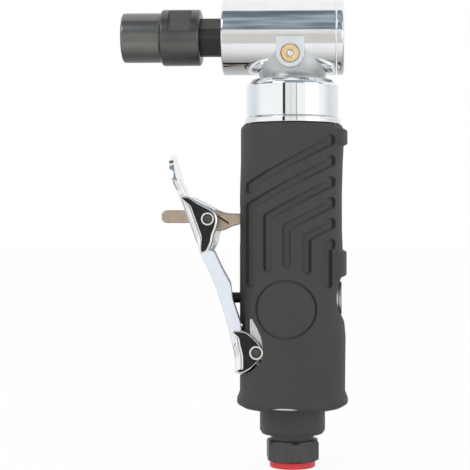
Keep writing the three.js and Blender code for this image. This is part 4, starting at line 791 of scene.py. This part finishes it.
# The web: the outer line as rows, and across it y = v w, with a slot for the latch's tongue
def makeWeb():
    line = leverPoints(lineShares)
    smooth = rounded([(*line[0], 0), *[(*point, 3) for point in line[1:-1]], (*line[-1], 0)], 8)
    fine = evenly(smooth, 0.55)
    extra = np.linspace(fine[-2], fine[-1], 8)[1:-1]
    rows = np.concatenate([fine[:-1], extra, fine[-1:]])
    rise = (rows[:, 1] - leverPivot[1]) / leverLength
    width = webWidths(rows[:, 1], rise, line[-1][1] - lever["tipLength"])
    columns = 49
    y = width[:, None] * np.linspace(-1, 1, columns)[None, :]
    slotHalf, slotStart, slotEnd = (lever[key] for key in ("slotHalf", "slotStart", "slotEnd"))
    beside = (rise > slotStart - 0.005) & (rise < slotEnd + 0.005)
    near = beside[:, None] & (np.abs(np.abs(y) - slotHalf) < 0.26)
    y = np.where(near, np.sign(y) * slotHalf, y)
    x, z = np.repeat(rows[:, :1], columns, axis=1), np.repeat(rows[:, 1:], columns, axis=1)
    grid = np.stack([x, y, z], axis=-1)
    middle = (grid[:-1, :-1] + grid[1:, 1:]) / 2
    middleRise = (middle[..., 2] - leverPivot[1]) / leverLength
    hole = (np.abs(middle[..., 1]) < slotHalf) & (middleRise > slotStart) & (middleRise < slotEnd)
    web = addShell("lever_web", grid[:, ::-1], ~hole[:, ::-1], lever["sheet"], "lever", "leverChrome",
                   "chrome", "throttle_lever", wrap=False)
    edges = web.modifiers.new("edges", "BEVEL")
    edges.width = lever["bevel"] * 0.001
    edges.segments = 3
    edges.limit_method = "ANGLE"
    edges.angle_limit = math.radians(50)


# The plates beside the web, with the shares of the plate's height over which the bend grows and fades
sidePlates = {
    # flat: the finish of the outer flat; on the cheeks and ears a near black painted reflection
    "cheek": {"high": 11.8, "bend": 2.9, "rim": 0.5, "grow": 0.1, "fade": 0.75,
              "finish": "leverChrome", "flat": "paintedDarkReflection"},
    "ear": {"high": 11.8, "bend": 2.6, "rim": 0.95, "grow": 0.35, "fade": 0.7,
            "finish": "leverChrome", "flat": "paintedDarkReflection"},
    "rail": {"high": 11.6, "bend": 1.3, "rim": 0.5, "grow": 0.05, "fade": 0.95,
             "finish": "railSatin", "flat": "railSatin"},
}
sideNames = {-1: "_near", 1: "_far"}


# How wide a side plate's edge is at each point of its outline: a wide bend along the web's line, which
# grows and fades towards the plate's ends, elsewhere a narrow rim
def plateEdges(plate, loop):
    least, bend, rim = lever["leastEdge"], plate["bend"], plate["rim"]
    away = lineDistance(leverPoints(lineShares), loop[:, 0], loop[:, 1])[0]
    edge = rim + (bend - rim) * (1 - smoothStep(0.2, 1.6, away))
    along = (loop[:, 1] - loop[:, 1].min()) / np.ptp(loop[:, 1])
    edge = np.minimum(edge, least + bend * smoothStep(0, plate["grow"], along))
    edge = np.minimum(edge, least + bend * (1 - smoothStep(plate["fade"], 1, along)))
    for _ in range(3):
        edge = (np.roll(edge, 1) + 2 * edge + np.roll(edge, -1)) / 4
    return edge


# A cheek, an ear or the rail between them. The flat outside, the one face with many corners, has a finish
# of its own: on a cheek or an ear a near black painted reflection.
def makeSidePlate(kind, side, outline):
    plate = sidePlates[kind]
    loop = counterclockwise(roundedLoop([(*corner, 1.2) for corner in leverPoints(outline)], 0.45))
    name = "lever_" + kind + sideNames[side]
    mesh = plateMesh(name, loop, lever["inner"], plate["high"], plateEdges(plate, loop),
                     "front" if side < 0 else "rear", drop=lever["edgeDrop"], steps=7)
    piece = addPiece(name, mesh, "lever", plate["finish"], "chrome", "throttle_lever")
    corners = faceValues(piece, "loop_total", 1, np.int32)[:, 0]
    addFinish(piece, plate["flat"], (corners > 20) & (faceValues(piece, "normal")[:, 1] * side > 0.5))


makeWeb()
for side in sideNames:
    narrower = lever["farNarrower"] if side > 0 else 0
    innerSide = [(forward + narrower, up) for forward, up in railInnerShares]
    makeSidePlate("cheek", side, cheekShares)
    makeSidePlate("ear", side, earShares)
    makeSidePlate("rail", side, railWebShares + innerSide)

latchPivot = (-29.15, 87.8)
pins = {
    "lever": {"pivot": leverPivot, "body": "handle", "radius": 1.4, "ring": 2.4},
    "latch": {"pivot": latchPivot, "body": "lever", "radius": 1.3, "ring": 2.25},
}


# A pin with domed ends, and a bright ring round each end
def makePin(label, pin):
    radius, ring = pin["radius"], pin["ring"]
    centre = (pin["pivot"][0], 0, pin["pivot"][1])
    addTurned(label + "_pin_body", [
        (0, -11.95), (0.8, -12.05, 0.3), (radius, -12.25, 0.25), (radius, 12.25, 0.25), (0.8, 12.05, 0.3),
        (0, 11.95),
    ], "Y", centre, pin["body"], "pinSteel", "bright_steel", label + "_pin", 64)
    for side, sideName in sideNames.items():
        low, high = sorted((side * 11.6, side * 12.1))
        inner = radius + 0.4
        profile = [(inner, low), (ring, low, 0.05), (ring, high, 0.2), (inner, high, 0.15)]
        addTurned(label + "_pin_ring" + sideName, profile, "Y", centre, "lever", "leverChrome", "chrome",
                  sides=64)


for label, pin in pins.items():
    makePin(label, pin)

# The latch's outline round its pin, from the foot over the top to the tongue and back
latch = {"halfWidth": 2.5, "edge": 0.55}
latchCorners = [
    (11.2, -1.7, 0.5), (11.2, 2.0, 0.5), (5.5, 2.1, 3), (2.6, 3.4, 2), (-0.5, 3.5, 1.5), (-5.0, 3.2, 2),
    (-17.4, 3.2, 2.3), (-17.4, -1.4, 2.3), (-4.0, -1.4, 1.5), (-2.0, -3.2, 2), (1.8, -4.3, 1.5),
    (4.6, -4.1, 1.5), (8.0, -2.4, 2),
]


def makeLatch():
    half, edge = latch["halfWidth"], latch["edge"]
    corners = [(x + latchPivot[0], z + latchPivot[1], rounding) for x, z, rounding in latchCorners]
    loop = counterclockwise(roundedLoop(corners, 0.35))
    mesh = plateMesh("latch_body", loop, -half, half, edge, "rear", lowEdge=edge)
    addPiece("latch_body", mesh, "latch", "latchSteel", "tan_steel", "safety_latch")


spring = {
    "radius": 2.45, "wire": 0.28, "start": -2.85, "pitch": 0.8, "turns": 3, "latchAngle": 55.8,
    "latchLeg": 6.4, "webAngle": 73.3, "webLeg": 6.6,
}


# A wire along a path P: its skin is P + w (side cos b + up sin b), where side and up stand across the path
def addWire(name, path, body, replaced=""):
    path = evenly(path, 0.3)
    along = np.gradient(path, axis=0)
    side = unit(np.cross(along, (0, 1, 0)))
    up = unit(np.cross(side, along))
    angle = np.arange(12) / 12 * turn
    skin = side[:, None] * np.cos(angle)[:, None] + up[:, None] * np.sin(angle)[:, None]
    mesh = gridMesh(name, path[:, None] + spring["wire"] * skin, caps=True)
    addPiece(name, mesh, body, "stemSteel", "bright_steel", replaced)


# The latch's spring: turns round the pin, P = c + R (cos a, sin a), with a leg that ends at the web, and
# a leg along the latch, which folds with it
def makeLatchSpring():
    first = math.radians(spring["latchAngle"])
    last = math.radians(spring["webAngle"]) + spring["turns"] * turn
    angle = np.linspace(first, last, 220)
    x = latchPivot[0] + spring["radius"] * np.cos(angle)
    y = spring["start"] - spring["pitch"] * (angle - first) / turn
    z = latchPivot[1] + spring["radius"] * np.sin(angle)
    coil = np.column_stack([x, y, z])
    latchEnd = coil[0] + spring["latchLeg"] * np.array([math.sin(first), 0, -math.cos(first)])
    webEnd = coil[-1] + spring["webLeg"] * np.array([-math.sin(last), 0, math.cos(last)])
    addWire("latch_spring_coil", np.concatenate([coil, [webEnd]]), "lever", "latch_spring")
    addWire("latch_spring_leg", np.array([latchEnd, coil[0]]), "latch")


makeLatch()
makeLatchSpring()
print("lever ready")


# Valve

def makeStem():
    profile = [(0, -22.7), (1.2, -22.7, 0.25), (1.9, -22.0, 0.3), (1.9, -0.05), (0, -0.05)]
    addTurned("stem_pin", profile, "X", valveCentre, "valve", "stemSteel", "dark_steel", "valve_stem", 64)


knob = {"radius": 5.8, "slotHalf": 0.7, "slotFloor": 16.3, "face": 17.5, "edge": 0.3}


# The knob: a turned body, and on it two discs cut short by the slot
def makeKnob():
    radius, floor = knob["radius"], knob["slotFloor"]
    look = ("regulator", "knobAluminium", "aluminium", "air_regulator")
    addTurned("knob_body", [
        (1.7, 8.9), (4.7, 8.9), (4.7, 12.3), (6.6, 12.3, 0.15), (6.6, 13.9, 0.15), (radius, 13.9),
        (radius, floor + 0.05), (0, floor + 0.05), (0, 12.0), (1.7, 12.0),
    ], "X", valveCentre, *look)
    reach = math.acos(knob["slotHalf"] / radius)
    for label, middle in (("near", math.pi), ("far", 0)):
        arc = np.linspace(-reach, reach, 60) + middle
        disc = np.column_stack([radius * np.cos(arc), valveHeight + radius * np.sin(arc)])
        outline = evenly(np.concatenate([disc, disc[:1]]), 0.4)[:-1]
        mesh = plateMesh("knob_" + label, outline, floor, knob["face"], knob["edge"], "back")
        addPiece("knob_" + label, mesh, *look)


def makeClip():
    profile = [(6.1, 14.2), (6.75, 14.2, 0.1), (6.75, 15.0, 0.1), (6.1, 15.0, 0.1)]
    addTurned("knob_clip", profile, "X", valveCentre, "handle", "stemSteel", "dark_steel", "regulator_clip")


makeStem()
makeKnob()
makeClip()


# Foot

# The hexagon's turn about the handle in degrees, and its flats
hexTurn = -82.7
hexagon = {
    "flatWidth": 17.7, "flatAngles": [hexTurn + 30 + 60 * k for k in range(6)], "flatStart": 2.0,
    "flatEnd": 11.2,
}


def makeHexagon():
    addTurned("inlet_hex", [
        (5.7, 2.4), (8.85, 2.4, 0.15), (10.3, 3.1), (10.3, 8.9), (8.85, 9.7, 0.2), (7.6, 9.7), (7.6, 20.2),
        (6.95, 20.5, 0.2), (6.95, 35.8, 0.5), (5.7, 35.8, 0.2),
    ], "Z", origin, "handle", "hexCoat", "dark_steel", "inlet_bushing", flatSides, flatLimit(hexagon),
        math.radians(hexTurn), 20)


def makeCollar():
    addTurned("exhaust_collar", [
        (7.9, 11.9), (10.8, 11.9, 0.2), (11.6, 13.2, 0.2), (11.6, 21.5, 0.35), (10.7, 21.5, 0.15),
        (10.7, 13.5), (7.9, 13.5),
    ], "Z", origin, "handle", "collarCoat", "black_coat", "exhaust_deflector", 160)


def makePlug():
    addTurned("plug_body", [
        (0, 0), (8.1, 0, 0.4), (8.1, 2.3, 0.3), (5.4, 2.3), (5.4, 6.8, 0.4), (4.2, 6.8, 0.3), (4.2, 1.2),
        (0, 1.2),
    ], "Z", origin, "plug", "plugPlastic", "red_plastic", "inlet_plug", 128)


makeHexagon()
makeCollar()
makePlug()
print("foot ready")


# Studio

studio = {"plainLight": 0.86, "floorShade": 0.96, "floorWhite": 0.93}

# What a curved mirror sees, by the angle in degrees round X from the front: a pale front, white above it
frontStops = [
    (-175, 0.72), (-128, 0.48), (-102, (0.3, 0.3, 0.29)), (-78, (0.46, 0.46, 0.45)), (-48, 0.86),
    (-27, 1.0), (-25, (0.7, 0.67, 0.63)), (3, (0.69, 0.66, 0.62)), (4, (0.8, 0.79, 0.77)),
    (17, (0.86, 0.86, 0.85)), (81, 1.0), (180, 1.0),
]

# Where the dark ceiling covers it, and the ceiling's own colours by its streaks
ceilingStops = [(15.8, 0.0), (16.2, 1.0), (80.3, 1.0), (80.8, 0.0)]
streakStops = [(0.3, (0.13, 0.155, 0.19)), (0.5, (0.2, 0.24, 0.29)), (0.75, (0.4, 0.46, 0.52))]

# What stands near the horizon, by the angle in degrees round Z: white walls and two dark posts
post = (0.02, 0.022, 0.025)
wallStops = [
    (-160, (0.92, 0.93, 0.94)), (-105, (0.72, 0.78, 0.8)), (-80, 1.0), (-21.8, 1.0), (-21.3, post),
    (-15.8, post), (-15.3, (0.86, 0.88, 0.88)), (11.2, (0.86, 0.88, 0.88)), (11.6, post), (13.6, post),
    (14, 1.0), (80, 1.0), (105, (0.72, 0.77, 0.79)), (160, (0.9, 0.92, 0.93)),
]


# An angle in degrees as its place on a ramp
def at(degrees):
    return 0.5 + degrees / 360


# A ramp over angles in degrees, each with a grey or a colour
def angleRamp(nodes, factor, stops):
    colors = [shade if isinstance(shade, tuple) else (shade,) * 3 for _, shade in stops]
    return nodes.ramp(factor, [(at(degrees), color) for (degrees, _), color in zip(stops, colors)])


# The ceiling's colour: long streaks of noise, paler in the middle
def makeCeiling(nodes, direction, rise):
    stretched = nodes.add("ShaderNodeMapping", {"Vector": direction, "Scale": (45.0, 5.0, 5.0)}).outputs[0]
    streak = nodes.add("ShaderNodeTexNoise", {"Vector": stretched, "Scale": 1.0, "Detail": 6.0}).outputs[0]
    middle = angleRamp(nodes, rise, [(16, 0.0), (32, 0.2), (52, 0.26), (68, 0.08), (80, 0.0)])
    tint = nodes.math("ADD", nodes.math("MULTIPLY_ADD", streak, 1.9, -0.55), middle)
    return nodes.ramp(tint, streakStops)


# What mirrors see: the front and the ceiling, or the walls where the direction is nearly level and a few
# degrees aside from the front
def mirroredWorld(nodes):
    direction = nodes.add("ShaderNodeTexCoord").outputs["Generated"]
    parts = nodes.add("ShaderNodeSeparateXYZ", {0: direction}).outputs
    front = nodes.math("MULTIPLY", parts[1], -1.0)
    noise = nodes.add("ShaderNodeTexNoise", {"Vector": direction, "Scale": 6.0, "Detail": 4.0}).outputs[0]
    shift = nodes.math("MULTIPLY_ADD", noise, 0.012, 0.494)
    rise = nodes.math("MULTIPLY_ADD", nodes.math("ARCTAN2", parts[2], front), 1 / turn, shift)
    side = nodes.math("MULTIPLY_ADD", nodes.math("ARCTAN2", parts[0], front), 1 / turn, shift)
    pale = angleRamp(nodes, rise, frontStops)
    curved = nodes.mix(angleRamp(nodes, rise, ceilingStops), pale, makeCeiling(nodes, direction, rise))
    level = nodes.math("LESS_THAN", nodes.math("ABSOLUTE", parts[2]), 0.2)
    fromFront = nodes.math("ABSOLUTE", nodes.math("SUBTRACT", side, at(-2.5)))
    aside = nodes.math("GREATER_THAN", fromFront, 3.3 / 360)
    return nodes.mix(nodes.math("MULTIPLY", level, aside), curved, angleRamp(nodes, side, wallStops))


# The world: white where it is seen, plain light on the object, the mirrored world in reflections
def makeWorld():
    world = bpy.data.worlds.new("studio")
    scene.world = world
    nodes = NodeTree(world)
    rays = nodes.add("ShaderNodeLightPath").outputs
    white = (1, 1, 1, 1)
    plain = nodes.add("ShaderNodeBackground", {"Color": white, "Strength": studio["plainLight"]}).outputs[0]
    color = mirroredWorld(nodes)
    mirrored = nodes.add("ShaderNodeBackground", {"Color": color, "Strength": 1.0}).outputs[0]
    seen = nodes.add("ShaderNodeBackground", {"Color": white, "Strength": 1.0}).outputs[0]
    lit = nodes.add("ShaderNodeMixShader", {0: rays["Is Glossy Ray"], 1: plain, 2: mirrored}).outputs[0]
    final = nodes.add("ShaderNodeMixShader", {0: rays["Is Camera Ray"], 1: lit, 2: seen}).outputs[0]
    nodes.add("ShaderNodeOutputWorld", {"Surface": final})


# The floor: pale and matt, mostly plain white towards the camera, so that a soft shadow stays
def makeFloor():
    grid = np.array([[(x, y, -0.02) for x in (-4000, 4000)] for y in (-4000, 4000)], float)
    mesh = gridMesh("floor", grid, wrap=False)
    finish = bpy.data.materials.new("paleFloor")
    nodes = NodeTree(finish)
    rays = nodes.add("ShaderNodeLightPath").outputs
    shade = studio["floorShade"]
    matt = nodes.add("ShaderNodeBsdfDiffuse", {"Color": (shade, shade, shade, 1)}).outputs[0]
    white = nodes.add("ShaderNodeEmission", {"Color": (1, 1, 1, 1), "Strength": 1.0}).outputs[0]
    share = nodes.math("MULTIPLY", rays["Is Camera Ray"], studio["floorWhite"])
    surface = nodes.add("ShaderNodeMixShader", {0: share, 1: matt, 2: white}).outputs[0]
    nodes.add("ShaderNodeOutputMaterial", {"Surface": surface})
    mesh.materials.append(finish)
    floor = bpy.data.objects.new("floor", mesh)
    scene.collection.objects.link(floor)
    floor.visible_glossy = False


# A square lamp towards the middle of the tool
def makeLamp(name, place, size, power):
    light = bpy.data.lights.new(name, "AREA")
    light.size = size
    light.energy = power
    light.specular_factor = 0.6
    lamp = bpy.data.objects.new(name, light)
    scene.collection.objects.link(lamp)
    lamp.location = place
    away = np.array(place) - np.array((0, 0, 0.08))
    yaw = math.atan2(away[0], -away[1])
    tilt = math.acos(away[2] / np.linalg.norm(away))
    lamp.rotation_euler = (tilt, 0, yaw)


# The camera: distance and height in metres, turn in degrees, the rest in pixels of the picture
def makeCamera():
    view = {
        "distance": 0.467, "height": 0.0857, "turn": 2, "focal": 1313, "axis": 292.5, "level": 225,
        "size": 470,
    }
    turned = math.radians(view["turn"])
    data = bpy.data.cameras.new("camera")
    data.sensor_width = 36
    data.lens = view["focal"] / view["size"] * 36
    data.shift_x = (view["size"] / 2 - view["axis"]) / view["size"]
    data.shift_y = (view["level"] - view["size"] / 2) / view["size"]
    camera = bpy.data.objects.new("camera", data)
    scene.collection.objects.link(camera)
    across, back = math.sin(turned), -math.cos(turned)
    camera.location = (view["distance"] * across, view["distance"] * back, view["height"])
    camera.rotation_euler = (math.pi / 2, 0, turned)
    scene.camera = camera


makeWorld()
makeFloor()
makeLamp("key", (-0.7, -0.9, 0.9), 0.6, 3.0)
makeLamp("fill", (0.9, -0.7, 0.5), 0.8, 1.2)
makeCamera()
scene.view_settings.view_transform = "Standard"
print("studio ready")
